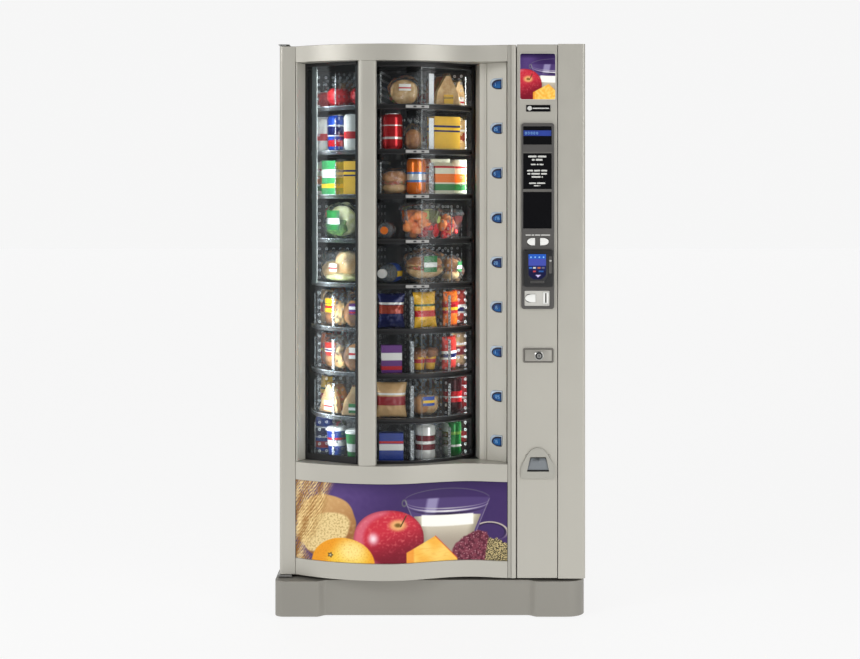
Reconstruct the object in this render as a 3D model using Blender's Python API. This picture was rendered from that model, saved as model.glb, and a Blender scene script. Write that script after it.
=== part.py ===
"""Refrigerated rotary vending machine, in metres, +Z up, with its front facing -Y.

The origin lies on the floor under the middle of the outline. A bow-fronted main door hangs on its
left edge, a drum of nine trays turns behind it, and the money column stands on the right. Angles
called phi turn about the drum's axis, from the front (-Y) towards the right (+X).
"""

import math

import bmesh
import bpy
from mathutils import Matrix, Vector

# Outline of the whole machine
HALF_WIDTH = 0.495
HALF_DEPTH = 0.450
HEIGHT = 1.830
FRONT_Y = -0.407
GAP = 0.0005

# Bow of the main door's front, as a rise in front of FRONT_Y
BOW_X, BOW_RISE, BOW_RADIUS = -0.137, 0.043, 0.520
VALLEY_X, VALLEY_RISE = 0.130, -0.016
FLAT_X, FLAT_RISE = 0.260, 0.002
BOW_STEPS = 26

# Insulated cabinet
CABINET_X = (-0.484, HALF_WIDTH)
CABINET_Y = (-0.292, 0.445)
CABINET_Z = (0.125, 1.827)
INNER_X = (-0.445, 0.470)
INNER_BACK = 0.400
INNER_Z = (0.150, 1.792)
PARTITION_X = (0.205, 0.250)
DECK_Z = (0.415, 0.455)
BACK_VENT_X, BACK_VENT_Z = (-0.390, 0.150), (0.175, 0.395)

# Main door
DOOR_X = (-0.484, 0.2745)
DOOR_Z = (0.1256, 1.824)
DOOR_BACK = -0.300
STILE_X = (-0.4325, 0.2475)
GRAPHIC_Z = (0.179, 0.431)
WINDOW_Z = (0.488, 1.772)
JAMB_X, JAMB_Y = -0.4085, -0.309
SILL_THICKNESS = 0.018
MAIN_HINGE = (-0.470, -0.345)
PIN_RADIUS, PIN_BORE = 0.0045, 0.0060

# Drum and its trays
AXIS_X, AXIS_Y = -0.125, -0.102
TIERS = 9
TIER_PITCH = 0.1437
FIRST_TRAY_TOP = 1.636
TRAY_RADIUS, TRAY_THICKNESS = 0.275, 0.015
DIVIDER_RADIUS, DIVIDER_HEIGHT, DIVIDER_THICKNESS = 0.268, 0.116, 0.0024
HUB_RADIUS, HUB_BORE, SPINDLE_RADIUS, JOURNAL_RADIUS = 0.056, 0.0465, 0.045, 0.012
SPINDLE_Z = (0.457, 1.7635)
DRUM_CLEARANCE = 0.2785
DIVIDERS = {1: (10, 28.9), 2: (10, 28.9), 3: (10, 28.9), 4: (5, 47.0), 5: (5, 47.0)}
LOWER_DIVIDERS = (12, 14.7)

# Drum drive: module, teeth and the bearing of the pinion from the drum's axis
GEAR_MODULE, RING_TEETH, PINION_TEETH = 0.006, 36, 12
GEAR_Z = (0.458, 0.4695)
PINION_BEARING = 60.0
SHAFT_RADIUS = 0.008

# Curved panes and their guides
FIXED_PANE = (0.2795, 0.2830)
TRACK = (0.2840, 0.3055)
VEND_DOOR = (0.2985, 0.3015)
TRACK_PHI = (-22.0, 62.5)
TRACK_OPENING_PHI = (-19.6, 59.6)
FIXED_PANE_PHI = (-21.5, 20.5)
VEND_DOOR_PHI = (19.0, 59.0)
RAIL_HEIGHT, END_RAIL_HEIGHT = 0.016, 0.008
RUNNING_GAP = 0.001
GRIP_PHI, GRIP_DEPTH, GRIP_HEIGHT = (55.2, 57.4), 0.011, 0.086

# Recessed price panel on the window's right, in plan from the door's edge inwards
PRICE_PATH = ((0.2450, -0.3709), (0.1830, -0.3250), (0.1610, -0.3195), (0.1500, -0.2480))
PRICE_SHEET = 0.0025
LENS_WIDTH, LENS_HEIGHT = 0.047, 0.032
FIRST_LENS_Z = 1.706

# Money column
COLUMN_X = (0.2775, 0.4055)
MONEY_DOOR_THICKNESS = 0.015
MONEY_DOOR_Z = (0.1256, 1.824)
MONEY_HINGE = (0.405, FRONT_Y)
BEZEL_X, BEZEL_Z, BEZEL_THICKNESS = (0.291, 0.395), (0.983, 1.574), 0.008
BUTTON_TRAVEL = 0.003
LOCK_X, LOCK_Z, LOCK_RADIUS = 0.347, 0.8335, 0.011
CUP_HINGE_Y, CUP_HINGE_Z = FRONT_Y - 0.0010, 0.5085

KICK_Z = (0.003, 0.1155)
KICK_THICKNESS = 0.003
KICK_MIDDLE_Y = -0.392

# Colour, roughness, metallic value and alpha of each look
LOOKS = {
    "body_paint": ((0.45, 0.44, 0.40), 0.38, 0.25, 1.0),
    "kick_paint": ((0.26, 0.25, 0.22), 0.45, 0.20, 1.0),
    "steel": ((0.50, 0.50, 0.49), 0.35, 1.00, 1.0),
    "black_plastic": ((0.012, 0.012, 0.013), 0.40, 0.00, 1.0),
    "dark_bezel": ((0.070, 0.066, 0.062), 0.42, 0.00, 1.0),
    "grey_plastic": ((0.33, 0.32, 0.30), 0.45, 0.00, 1.0),
    "white_plastic": ((0.82, 0.82, 0.80), 0.35, 0.00, 1.0),
    "clear_plastic": ((0.90, 0.93, 0.94), 0.08, 0.00, 0.25),
    "tinted_glass": ((0.30, 0.34, 0.38), 0.05, 0.00, 0.45),
    "display_blue": ((0.010, 0.035, 0.160), 0.15, 0.00, 1.0),
    "graphic_print": ((0.110, 0.055, 0.210), 0.25, 0.00, 1.0),
    "drum_white": ((0.70, 0.70, 0.68), 0.45, 0.00, 1.0),
    "aluminium": ((0.62, 0.62, 0.62), 0.40, 1.00, 1.0),
}


def flat(a, b, height):
    """An outline in plan, extruded upwards."""
    return Vector((a, b, height))


def upright(a, b, depth):
    """An outline seen from the front, extruded backwards."""
    return Vector((a, depth, b))


def on_price_panel(a, b, out):
    """An outline on the slanted price panel, extruded out of it towards the viewer."""
    along, normal, middle = price_panel_axes()
    return Vector((*(middle + along * a + normal * out), b))


def price_panel_axes():
    right, left = Vector(PRICE_PATH[0]), Vector(PRICE_PATH[1])
    along = (right - left).normalized()
    normal = Vector((along.y, -along.x))
    return along, normal, (right + left) / 2


def prism(shape, outline, low, high, frame=flat):
    lower = [shape.verts.new(frame(a, b, low)) for a, b in outline]
    upper = [shape.verts.new(frame(a, b, high)) for a, b in outline]
    shape.faces.new(lower)
    shape.faces.new(upper)
    for i, corner in enumerate(lower):
        j = (i + 1) % len(lower)
        shape.faces.new((corner, lower[j], upper[j], upper[i]))
    return shape


def block(shape, x, y, z):
    return prism(shape, [(x[0], y[0]), (x[1], y[0]), (x[1], y[1]), (x[0], y[1])], *z)


def solid(outline, low, high, frame=flat):
    return prism(bmesh.new(), outline, low, high, frame)


def box(x, y, z):
    return block(bmesh.new(), x, y, z)


def turned(profile, centre, steps, frame=flat):
    """A solid of revolution; the profile runs from the axis out and back to the axis."""
    shape = bmesh.new()
    rings = []
    for radius, level in profile:
        if radius == 0:
            rings.append([shape.verts.new(frame(*centre, level))])
            continue
        points = circle(centre, radius, steps)
        rings.append([shape.verts.new(frame(a, b, level)) for a, b in points])
    for inner, outer in zip(rings, rings[1:]):
        for i in range(steps):
            j = (i + 1) % steps
            corners = [inner[i % len(inner)], inner[j % len(inner)]]
            corners += [outer[j % len(outer)], outer[i % len(outer)]]
            shape.faces.new(list(dict.fromkeys(corners)))
    return shape


def arc(centre, radius, start, stop, steps):
    """Points on an arc, its angles in degrees from the first axis towards the second."""
    return [at_angle(centre, radius, start + (stop - start) * i / steps) for i in range(steps + 1)]


def at_angle(centre, radius, angle):
    turn = math.radians(angle)
    return (centre[0] + radius * math.cos(turn), centre[1] + radius * math.sin(turn))


def circle(centre, radius, steps):
    return arc(centre, radius, 0, 360, steps)[:-1]


def polar(radius, phi):
    turn = math.radians(phi)
    return (AXIS_X + radius * math.sin(turn), AXIS_Y - radius * math.cos(turn))


def band(radii, phis, steps):
    """The outline in plan of a curved sheet about the drum's axis."""
    turns = [phis[0] + (phis[1] - phis[0]) * i / steps for i in range(steps + 1)]
    inner = [polar(radii[0], phi) for phi in turns]
    return [polar(radii[1], phi) for phi in turns] + inner[::-1]


def rounded(x, z, radius, steps=3):
    """A rectangle with round corners."""
    corners = ((x[1], z[0], -90), (x[1], z[1], 0), (x[0], z[1], 90), (x[0], z[0], 180))
    outline = []
    for a, b, start in corners:
        centre = (a - radius if a == x[1] else a + radius, b - radius if b == z[1] else b + radius)
        outline += arc(centre, radius, start, start + 90, steps)
    return outline


def half_moon(flat_a, tip_a, middle, height, steps=8):
    """A D on its side: straight at flat_a and round towards tip_a."""
    radius = height / 2
    to_tip = 1 if tip_a > flat_a else -1
    centre = (tip_a - to_tip * radius, middle)
    start = -90 if to_tip > 0 else 90
    return arc(centre, radius, start, start + 180, steps) + [
        (flat_a, middle + to_tip * radius),
        (flat_a, middle - to_tip * radius),
    ]


def offset(path, distance):
    """An open path moved sideways, to the left of its own direction."""
    points = [Vector(p) for p in path]
    moved = []
    for i, point in enumerate(points):
        before = (point - points[i - 1]).normalized() if i else None
        after = (points[i + 1] - point).normalized() if i + 1 < len(points) else None
        first, last = before or after, after or before
        side = Vector((-(first + last).y, (first + last).x)).normalized()
        reach = distance / side.dot(Vector((-first.y, first.x)))
        moved.append(tuple(point + side * reach))
    return moved


def ribbon(path, thickness):
    """The outline in plan of a sheet whose face is the path, with its body to the path's left."""
    return list(path) + offset(path, thickness)[::-1]


def bow_rise(x):
    """How far the door's front stands in front of FRONT_Y."""
    if x <= BOW_X:
        return BOW_RISE - BOW_RADIUS + math.sqrt(BOW_RADIUS**2 - (x - BOW_X) ** 2)
    if x <= VALLEY_X:
        share = (1 + math.cos(math.pi * (x - BOW_X) / (VALLEY_X - BOW_X))) / 2
        return VALLEY_RISE + (BOW_RISE - VALLEY_RISE) * share
    share = (1 - math.cos(math.pi * min(1, (x - VALLEY_X) / (FLAT_X - VALLEY_X)))) / 2
    return VALLEY_RISE + (FLAT_RISE - VALLEY_RISE) * share


def bow_path(x0, x1, recess=0.0):
    """The bowed front in plan, from left to right, set back by recess."""
    xs = [x0 + (x1 - x0) * i / BOW_STEPS for i in range(BOW_STEPS + 1)]
    return [(x, FRONT_Y - bow_rise(x) + recess) for x in xs]


def material(look):
    if look in bpy.data.materials:
        return bpy.data.materials[look]
    colour, roughness, metallic, alpha = LOOKS[look]
    made = bpy.data.materials.new(look)
    made.use_nodes = True
    shader = made.node_tree.nodes["Principled BSDF"]
    shader.inputs["Base Color"].default_value = (*colour, 1.0)
    shader.inputs["Roughness"].default_value = roughness
    shader.inputs["Metallic"].default_value = metallic
    shader.inputs["Alpha"].default_value = alpha
    made.diffuse_color = (*colour, alpha)
    return made


def world_place(thing):
    place = Vector((0, 0, 0))
    while thing:
        place += thing.location
        thing = thing.parent
    return place


def linked(name, shape):
    bmesh.ops.recalc_face_normals(shape, faces=shape.faces)
    mesh = bpy.data.meshes.new(name)
    shape.to_mesh(mesh)
    shape.free()
    thing = bpy.data.objects.new(name, mesh)
    bpy.context.scene.collection.objects.link(thing)
    return thing


def part(name, shape, look, pivot=None):
    """A named sub-part; its origin lies on the pivot of the body that it moves with."""
    thing = linked(name, shape)
    mesh = thing.data
    mesh.shade_smooth()
    mesh.set_sharp_from_angle(angle=math.radians(35))
    mesh.materials.append(material(look))
    if pivot:
        mesh.transform(Matrix.Translation(-world_place(pivot)))
        thing.parent = pivot
    return thing


def use_tool(target, operation, shape):
    """Cuts a shape out of a sub-part, or joins it on."""
    tool = linked(f"{target.name}_{operation.lower()}", shape)
    tool.hide_render = True
    tool.display_type = "WIRE"
    modifier = target.modifiers.new(operation.title(), "BOOLEAN")
    modifier.operation = operation
    modifier.object = tool
    return target


def cut(target, shape):
    return use_tool(target, "DIFFERENCE", shape)


def join(target, shape):
    return use_tool(target, "UNION", shape)


def pivot_at(name, place, parent=None):
    pivot = bpy.data.objects.new(name, None)
    bpy.context.scene.collection.objects.link(pivot)
    pivot.location = Vector(place) - world_place(parent)
    pivot.parent = parent
    return pivot


def tray_top(tier):
    return FIRST_TRAY_TOP - TIER_PITCH * (tier - 1)


def tier_opening(tier):
    """The heights between the guide rails under and over a tier."""
    low = tray_top(tier) + GAP if tier < TIERS else WINDOW_Z[0] + GAP + END_RAIL_HEIGHT
    high = tray_top(tier - 1) + GAP - RAIL_HEIGHT if tier > 1 else WINDOW_Z[1] - RAIL_HEIGHT
    return low, high


def make_cabinet():
    shell = part("cabinet_shell", box(CABINET_X, CABINET_Y, CABINET_Z), "body_paint")
    cut(shell, box(INNER_X, (CABINET_Y[0] - 0.05, INNER_BACK), INNER_Z))
    cut(shell, box(BACK_VENT_X, (INNER_BACK - 0.02, CABINET_Y[1] + 0.02), BACK_VENT_Z))
    inner_y = (CABINET_Y[0], INNER_BACK - GAP)
    inner_z = (INNER_Z[0] + GAP, INNER_Z[1] - GAP)
    part("partition_wall", box(PARTITION_X, inner_y, inner_z), "grey_plastic")
    deck_x = (INNER_X[0] + GAP, PARTITION_X[0] - GAP)
    deck = part("deck_floor", box(deck_x, inner_y, DECK_Z), "grey_plastic")
    holes = solid(circle((AXIS_X, AXIS_Y), 0.0135, 24), DECK_Z[0] + 0.02, DECK_Z[1] + 0.01)
    prism(holes, circle(pinion_centre(), 0.0100, 16), DECK_Z[0] - 0.01, DECK_Z[1] + 0.01)
    cut(deck, holes)


def make_base():
    """Frame of box section under the cabinet, on four levelling feet, with arms to the skirt."""
    outer_x, outer_y, rail = (-0.440, 0.450), (-0.240, 0.420), 0.050
    inner_x = (outer_x[0] + rail, outer_x[1] - rail)
    inner_y = (outer_y[0] + rail, outer_y[1] - rail)
    frame = part("base_frame", box(outer_x, outer_y, (0.045, CABINET_Z[0] - GAP)), "steel")
    cut(frame, box(inner_x, inner_y, (0.030, CABINET_Z[0] + 0.01)))
    stems, pads = bmesh.new(), bmesh.new()
    for x in (outer_x[0] + rail / 2, outer_x[1] - rail / 2):
        for y in (outer_y[0] + rail / 2, outer_y[1] - rail / 2):
            prism(stems, circle((x, y), 0.012, 10), 0.006, 0.060)
            prism(pads, circle((x, y), 0.024, 16), 0.0, 0.010)
    join(frame, stems)
    join(frame, pads)
    arms = bmesh.new()
    for x in (-0.200, 0.200):
        block(arms, (x - 0.020, x + 0.020), (KICK_MIDDLE_Y + KICK_THICKNESS + GAP, outer_y[0] + 0.01),
              (0.070, 0.108))
    join(frame, arms)


def make_kick_plate():
    """Skirt with a set-back middle, rounded ends that run back along the sides, and a top."""
    front, middle, side_end = KICK_MIDDLE_Y - 0.020, KICK_MIDDLE_Y, -0.250
    left, right = 0.030, 0.060
    path = [(-HALF_WIDTH, side_end)]
    path += arc((-HALF_WIDTH + left, front + left), left, 180, 270, 5)
    path += step_path((-0.362, front), (-0.330, middle))
    path += step_path((0.312, middle), (0.342, front))
    path += arc((HALF_WIDTH - right, front + right), right, 270, 360, 6)
    path.append((HALF_WIDTH, side_end))
    skirt = part("kick_plate", solid(ribbon(path, KICK_THICKNESS), *KICK_Z), "kick_paint")
    flange = solid(offset(path, KICK_THICKNESS / 2), KICK_Z[1] - KICK_THICKNESS, KICK_Z[1])
    join(skirt, flange)


def step_path(start, end, steps=5):
    """A smooth step in plan between two straight stretches."""
    points = []
    for i in range(steps + 1):
        share = (1 - math.cos(math.pi * i / steps)) / 2
        x = start[0] + (end[0] - start[0]) * i / steps
        points.append((x, start[1] + (end[1] - start[1]) * share))
    return points


def make_column_housing():
    """Sheet housing of the money column, with the fixed panel on its right."""
    left_x, back, top = 0.2785, CABINET_Y[0] - GAP, CABINET_Z[1]
    edge_y, sheet, panel_x = FRONT_Y + MONEY_DOOR_THICKNESS + 0.0025, 0.004, 0.408
    z = (DOOR_Z[0] - 0.002, top)
    corner = 0.008
    path = [(panel_x, edge_y + 0.010), (panel_x, FRONT_Y)]
    path += arc((HALF_WIDTH - corner, FRONT_Y + corner), corner, 270, 360, 4)
    path.append((HALF_WIDTH, back))
    housing = part("column_housing", solid(ribbon(path, sheet), *z), "body_paint")
    join(housing, box((left_x, left_x + sheet), (edge_y, back), z))
    left, right, front = left_x + sheet / 2, HALF_WIDTH - sheet / 2, FRONT_Y + sheet / 2
    plan = [(left, edge_y), (panel_x + sheet / 2, edge_y), (panel_x + sheet / 2, front),
            (HALF_WIDTH - corner, front), (right, FRONT_Y + corner), (right, back), (left, back)]
    plates = solid(plan, top - sheet, top - 0.0002)
    prism(plates, plan, z[0] + 0.0002, z[0] + sheet)
    join(housing, plates)


def make_hinge_brackets():
    """Arms on the cabinet, with the pins that the main door hangs and stands on."""
    x, y = (-0.487, -0.452), (MAIN_HINGE[1] - 0.018, -0.200)
    top = part("top_hinge_bracket", box(x, y, (CABINET_Z[1] + GAP, HEIGHT)), "steel")
    join(top, solid(circle(MAIN_HINGE, PIN_RADIUS, 12), 1.802, HEIGHT - 0.001))
    plate_z = (0.1185, CABINET_Z[0] - GAP)
    bottom = part("bottom_hinge_bracket", box((-0.489, -0.445), (y[0], -0.250), plate_z), "steel")
    join(bottom, solid(circle(MAIN_HINGE, PIN_RADIUS, 12), plate_z[0] + 0.001, 0.150))


def make_rear():
    z = (BACK_VENT_Z[0] - 0.012, BACK_VENT_Z[1] + 0.012)
    x = (BACK_VENT_X[0] - 0.012, BACK_VENT_X[1] + 0.012)
    grille = part("rear_grille", box(x, (CABINET_Y[1] + GAP, HALF_DEPTH), z), "steel")
    slots = bmesh.new()
    for i in range(8):
        low = BACK_VENT_Z[0] + 0.010 + i * 0.026
        block(slots, BACK_VENT_X, (CABINET_Y[1] - 0.01, HALF_DEPTH + 0.01), (low, low + 0.014))
    cut(grille, slots)
    inlet_y = (CABINET_Y[1] + GAP, HALF_DEPTH)
    outline = rounded((0.300, 0.372), (0.205, 0.262), 0.006)
    inlet = part("power_inlet", solid(outline, *inlet_y, upright), "black_plastic")
    socket = rounded((0.318, 0.354), (0.222, 0.246), 0.004)
    cut(inlet, solid(socket, inlet_y[0] + 0.0015, inlet_y[1] + 0.01, upright))


def make_refrigeration():
    bearing = box((AXIS_X - 0.045, AXIS_X + 0.045), (AXIS_Y - 0.045, AXIS_Y + 0.045),
                  (SPINDLE_Z[1] + GAP, INNER_Z[1] - GAP))
    top_bearing = part("drum_top_bearing", bearing, "black_plastic")
    cut(top_bearing, solid(circle((AXIS_X, AXIS_Y), 0.0135, 24), SPINDLE_Z[1] - 0.01, 1.800))
    can = [(0, 0.152), (0.080, 0.152), (0.100, 0.175), (0.104, 0.250), (0.092, 0.315),
           (0.055, 0.342), (0, 0.350)]
    part("compressor", turned(can, (-0.300, -0.080), 20), "black_plastic")
    make_condenser()
    cover_x = (INNER_X[0] + GAP, PARTITION_X[0] - GAP)
    cover_z = (DECK_Z[1] + GAP, INNER_Z[1] - GAP)
    cover = part("evaporator_cover", box(cover_x, (0.190, 0.195), cover_z), "black_plastic")
    openings = solid(circle((AXIS_X, 1.500), 0.095, 20), 0.18, 0.21, upright)
    block(openings, (-0.360, 0.110), (0.18, 0.21), (0.520, 0.600))
    cut(cover, openings)
    coil = part("evaporator_coil", box((-0.400, 0.150), (0.270, 0.350), (0.900, 1.250)), "aluminium")
    cut(coil, fin_gaps((-0.385, 0.135), (0.26, 0.28), (0.915, 1.235), 9))


def make_condenser():
    unit = part("condenser_unit", box((-0.120, 0.180), (0.245, 0.345), (0.152, 0.400)), "aluminium")
    cut(unit, solid(circle((0.030, 0.276), 0.098, 20), 0.22, 0.275, upright))
    cut(unit, fin_gaps((-0.105, 0.165), (0.335, 0.36), (0.165, 0.385), 7))


def fin_gaps(x, y, z, count):
    """Level grooves between the fin packs of a coil."""
    pitch = (z[1] - z[0]) / count
    shape = bmesh.new()
    for i in range(count):
        low = z[0] + pitch * i
        block(shape, x, y, (low + pitch * 0.25, low + pitch * 0.75))
    return shape


def fan(name, centre, radius, y, blades=5):
    """A fan about an axis along Y, with straight blades on a hub."""
    pivot = pivot_at(f"{name}_pivot", (centre[0], y[0], centre[1]))
    hub, step = radius * 0.3, 360 / blades
    outline = []
    for i in range(blades):
        for share, reach in ((0.00, hub), (0.06, radius), (0.30, radius), (0.42, hub), (0.71, hub)):
            outline.append(at_angle(centre, reach, (i + share) * step))
    part(name, solid(outline, *y, upright), "black_plastic", pivot)


def pinion_centre():
    reach = GEAR_MODULE * (RING_TEETH + PINION_TEETH) / 2
    return at_angle((AXIS_X, AXIS_Y), reach, PINION_BEARING)


def gear_outline(centre, teeth, phase):
    """Straight-sided teeth with plenty of backlash; one tooth points along phase."""
    pitch_radius = GEAR_MODULE * teeth / 2
    root, tip = pitch_radius - 0.95 * GEAR_MODULE, pitch_radius + 0.70 * GEAR_MODULE
    step = 360 / teeth
    outline = []
    for i in range(teeth):
        for share, radius in ((-0.32, root), (-0.13, tip), (0.13, tip), (0.32, root)):
            outline.append(at_angle(centre, radius, phase + (i + share) * step))
    return outline


def make_drum_drive():
    """Ring gear under the drum, on its spindle, and the motor with its pinion."""
    spindle_pivot = pivot_at("drum_pivot", (AXIS_X, AXIS_Y, 0))
    low, high = SPINDLE_Z
    profile = [(0, DECK_Z[1] - 0.018), (JOURNAL_RADIUS, DECK_Z[1] - 0.018), (JOURNAL_RADIUS, low),
               (SPINDLE_RADIUS, low), (SPINDLE_RADIUS, high), (JOURNAL_RADIUS, high),
               (JOURNAL_RADIUS, high + 0.022), (0, high + 0.022)]
    spindle = turned(profile, (AXIS_X, AXIS_Y), 20)
    drum_spindle = part("drum_spindle", spindle, "drum_white", spindle_pivot)
    ring = gear_outline((AXIS_X, AXIS_Y), RING_TEETH, PINION_BEARING)
    join(drum_spindle, solid(ring, *GEAR_Z))
    for tier in range(1, TIERS + 1):
        make_tray(tier, spindle_pivot)
    centre = pinion_centre()
    pinion_pivot = pivot_at("pinion_pivot", (*centre, 0))
    phase = PINION_BEARING + 180 + 180 / PINION_TEETH
    pinion = part("drive_pinion", solid(gear_outline(centre, PINION_TEETH, phase), *GEAR_Z),
                  "white_plastic", pinion_pivot)
    join(pinion, solid(circle(centre, SHAFT_RADIUS, 12), DECK_Z[0] - 0.001, GEAR_Z[1] - 0.004))
    gearbox = rounded((centre[0] - 0.050, centre[0] + 0.050), (centre[1] - 0.040, centre[1] + 0.060),
                      0.010)
    motor = part("drum_motor", solid(gearbox, DECK_Z[0] - 0.055, DECK_Z[0] - 0.002), "steel")
    join(motor, solid(circle((centre[0], centre[1] + 0.015), 0.034, 16), 0.240, DECK_Z[0] - 0.05))


def make_tray(tier, pivot):
    """A round tray with radial dividers on a hub that slides over the spindle."""
    count, phase = DIVIDERS.get(tier, LOWER_DIVIDERS)
    top = tray_top(tier)
    disc = solid(circle((AXIS_X, AXIS_Y), TRAY_RADIUS, 40), top - TRAY_THICKNESS, top)
    tray = part(f"tray_{tier}", disc, "clear_plastic", pivot)
    join(tray, solid(divider_outline(count, phase), top - 0.003, top + DIVIDER_HEIGHT))
    bore = circle((AXIS_X, AXIS_Y), HUB_BORE, 20)
    cut(tray, solid(bore, top - 2 * TRAY_THICKNESS, top + DIVIDER_HEIGHT + 0.01))


def divider_outline(count, phase):
    step = 360 / count
    hub_points = 10 // count
    outline = []
    for i in range(count):
        phi = phase + i * step
        for side in (-1, 1):
            for radius in (HUB_RADIUS, DIVIDER_RADIUS)[::-side]:
                lean = math.degrees(math.asin(side * DIVIDER_THICKNESS / 2 / radius))
                outline.append(polar(radius, phi + lean))
        for j in range(hub_points):
            outline.append(polar(HUB_RADIUS, phi + step * (j + 1) / (hub_points + 1)))
    return outline


def make_main_door():
    pivot = pivot_at("main_door_pivot", (*MAIN_HINGE, 0))
    make_door_frame(pivot)
    window_z = (WINDOW_Z[0] + GAP, WINDOW_Z[1] - GAP)
    mullion = [(-0.228, -0.405), (-0.228, -0.436), (-0.223, -0.4425), (-0.199, -0.4445),
               (-0.175, -0.4435), (-0.170, -0.438), (-0.170, -0.405)]
    part("mullion", solid(mullion, *window_z), "body_paint", pivot)
    pane = [(-0.4065, -0.3105), (-0.2335, -0.4120)]
    part("left_pane", solid(ribbon(pane, 0.006), *window_z), "tinted_glass", pivot)
    fixed = band(FIXED_PANE, FIXED_PANE_PHI, 9)
    part("fixed_curved_pane", solid(fixed, *window_z), "clear_plastic", pivot)
    track = part("vend_door_track", solid(band(TRACK, TRACK_PHI, 16), *window_z), "black_plastic",
                 pivot)
    openings = bmesh.new()
    through = (TRACK[0] - 0.01, TRACK[1] + 0.01)
    for tier in range(1, TIERS + 1):
        prism(openings, band(through, TRACK_OPENING_PHI, 15), *tier_opening(tier))
    cut(track, openings)
    graphic = ribbon(bow_path(STILE_X[0] + 0.004, STILE_X[1] - 0.001, 0.003), 0.005)
    part("graphic_panel", solid(graphic, GRAPHIC_Z[0] + GAP, GRAPHIC_Z[1] - GAP), "graphic_print",
         pivot)
    make_price_panel(pivot, window_z)
    for tier in range(1, TIERS + 1):
        make_vend_door(tier, pivot)


def make_door_frame(pivot):
    """Foam-filled frame: stiles, three rails, and the sill and soffit around the curved panes."""
    corner, end = 0.010, 0.006
    stile_y = FRONT_Y - bow_rise(STILE_X[0])
    outline = [(DOOR_X[0], DOOR_BACK)]
    outline += arc((DOOR_X[0] + corner, stile_y + corner), corner, 180, 270, 4)
    outline += bow_path(STILE_X[0], FLAT_X)
    outline += arc((DOOR_X[1] - end, FRONT_Y - FLAT_RISE + end), end, 270, 360, 3)
    outline.append((DOOR_X[1], DOOR_BACK))
    frame = part("main_door_frame", solid(outline, *DOOR_Z), "body_paint", pivot)
    front, back = -0.500, -0.280
    window = [(STILE_X[0], front), (STILE_X[1], front), (STILE_X[1], back), (JAMB_X, back),
              (JAMB_X, JAMB_Y), (STILE_X[0], stile_y)]
    openings = solid(window, *WINDOW_Z)
    block(openings, STILE_X, (front, back), GRAPHIC_Z)
    cut(frame, openings)
    sill = [(-0.010, DOOR_BACK - 0.005), (0.166, DOOR_BACK - 0.005), (0.160, -0.244),
            (0.090, -0.244)]
    plates = solid(sill, WINDOW_Z[0] - SILL_THICKNESS, WINDOW_Z[0])
    prism(plates, sill, WINDOW_Z[1], WINDOW_Z[1] + SILL_THICKNESS)
    join(frame, plates)
    clearance = circle((AXIS_X, AXIS_Y), DRUM_CLEARANCE, 64)
    cut(frame, solid(clearance, GRAPHIC_Z[1] - 0.020, WINDOW_Z[0] + 0.020))
    bores = solid(circle(MAIN_HINGE, PIN_BORE, 12), 1.800, DOOR_Z[1] + 0.01)
    prism(bores, circle(MAIN_HINGE, PIN_BORE, 12), DOOR_Z[0] - 0.01, 0.152)
    cut(frame, bores)


def lens_outline(tier, slack=0.0):
    middle = FIRST_LENS_Z - TIER_PITCH * (tier - 1)
    half = LENS_WIDTH / 2 - slack
    return half_moon(half, -half, middle, LENS_HEIGHT - 2 * slack)


def make_price_panel(pivot, window_z):
    """Bent sheet beside the window, and the bar of price displays that shows through it."""
    jamb = part("window_jamb", solid(ribbon(PRICE_PATH, -PRICE_SHEET), *window_z), "body_paint",
                pivot)
    holes, lenses = bmesh.new(), bmesh.new()
    for tier in range(1, TIERS + 1):
        prism(holes, lens_outline(tier), -0.010, 0.010, on_price_panel)
        prism(lenses, lens_outline(tier, GAP), -0.006, 0.002, on_price_panel)
    cut(jamb, holes)
    bar = [(-0.028, window_z[0] + 0.02), (0.028, window_z[0] + 0.02),
           (0.028, window_z[1] - 0.02), (-0.028, window_z[1] - 0.02)]
    behind = (-PRICE_SHEET - GAP - 0.008, -PRICE_SHEET - GAP)
    displays = part("price_display_bar", solid(bar, *behind, on_price_panel), "display_blue", pivot)
    join(displays, lenses)


def make_vend_door(tier, main_pivot):
    """Curved clear door that slides left in front of the fixed pane, with a finger grip."""
    low, high = tier_opening(tier)
    low, high = low + RUNNING_GAP, high - RUNNING_GAP
    pivot = pivot_at(f"vend_door_{tier}_pivot", (AXIS_X, AXIS_Y, 0), main_pivot)
    sheet = solid(band(VEND_DOOR, VEND_DOOR_PHI, 10), low, high)
    door = part(f"vend_door_{tier}", sheet, "clear_plastic", pivot)
    middle = (low + high) / 2
    grip = band((VEND_DOOR[1] - 0.001, VEND_DOOR[1] + GRIP_DEPTH), GRIP_PHI, 2)
    join(door, solid(grip, middle - GRIP_HEIGHT / 2, middle + GRIP_HEIGHT / 2))


def make_money_door():
    pivot = pivot_at("money_door_pivot", (*MONEY_HINGE, 0))
    panel_y = (FRONT_Y, FRONT_Y + MONEY_DOOR_THICKNESS)
    door = part("money_door", box(COLUMN_X, panel_y, MONEY_DOOR_Z), "body_paint", pivot)
    through = (FRONT_Y - 0.01, FRONT_Y + 0.03)
    openings = box((0.2945, 0.3915), through, (0.9875, 1.5695))
    block(openings, (0.3045, 0.3825), through, (0.4555, 0.5185))
    prism(openings, circle((LOCK_X, LOCK_Z), 0.013, 16), *through, upright)
    cut(door, openings)
    picture = rounded((0.285, 0.401), (1.648, 1.798), 0.006)
    part("picture_panel", solid(picture, FRONT_Y - GAP - 0.003, FRONT_Y - GAP, upright),
         "graphic_print", pivot)
    make_control_bezel(pivot)
    make_bill_acceptor(pivot)
    make_coin_parts(pivot)
    make_lock(pivot)
    make_coin_cup(pivot)


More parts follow.
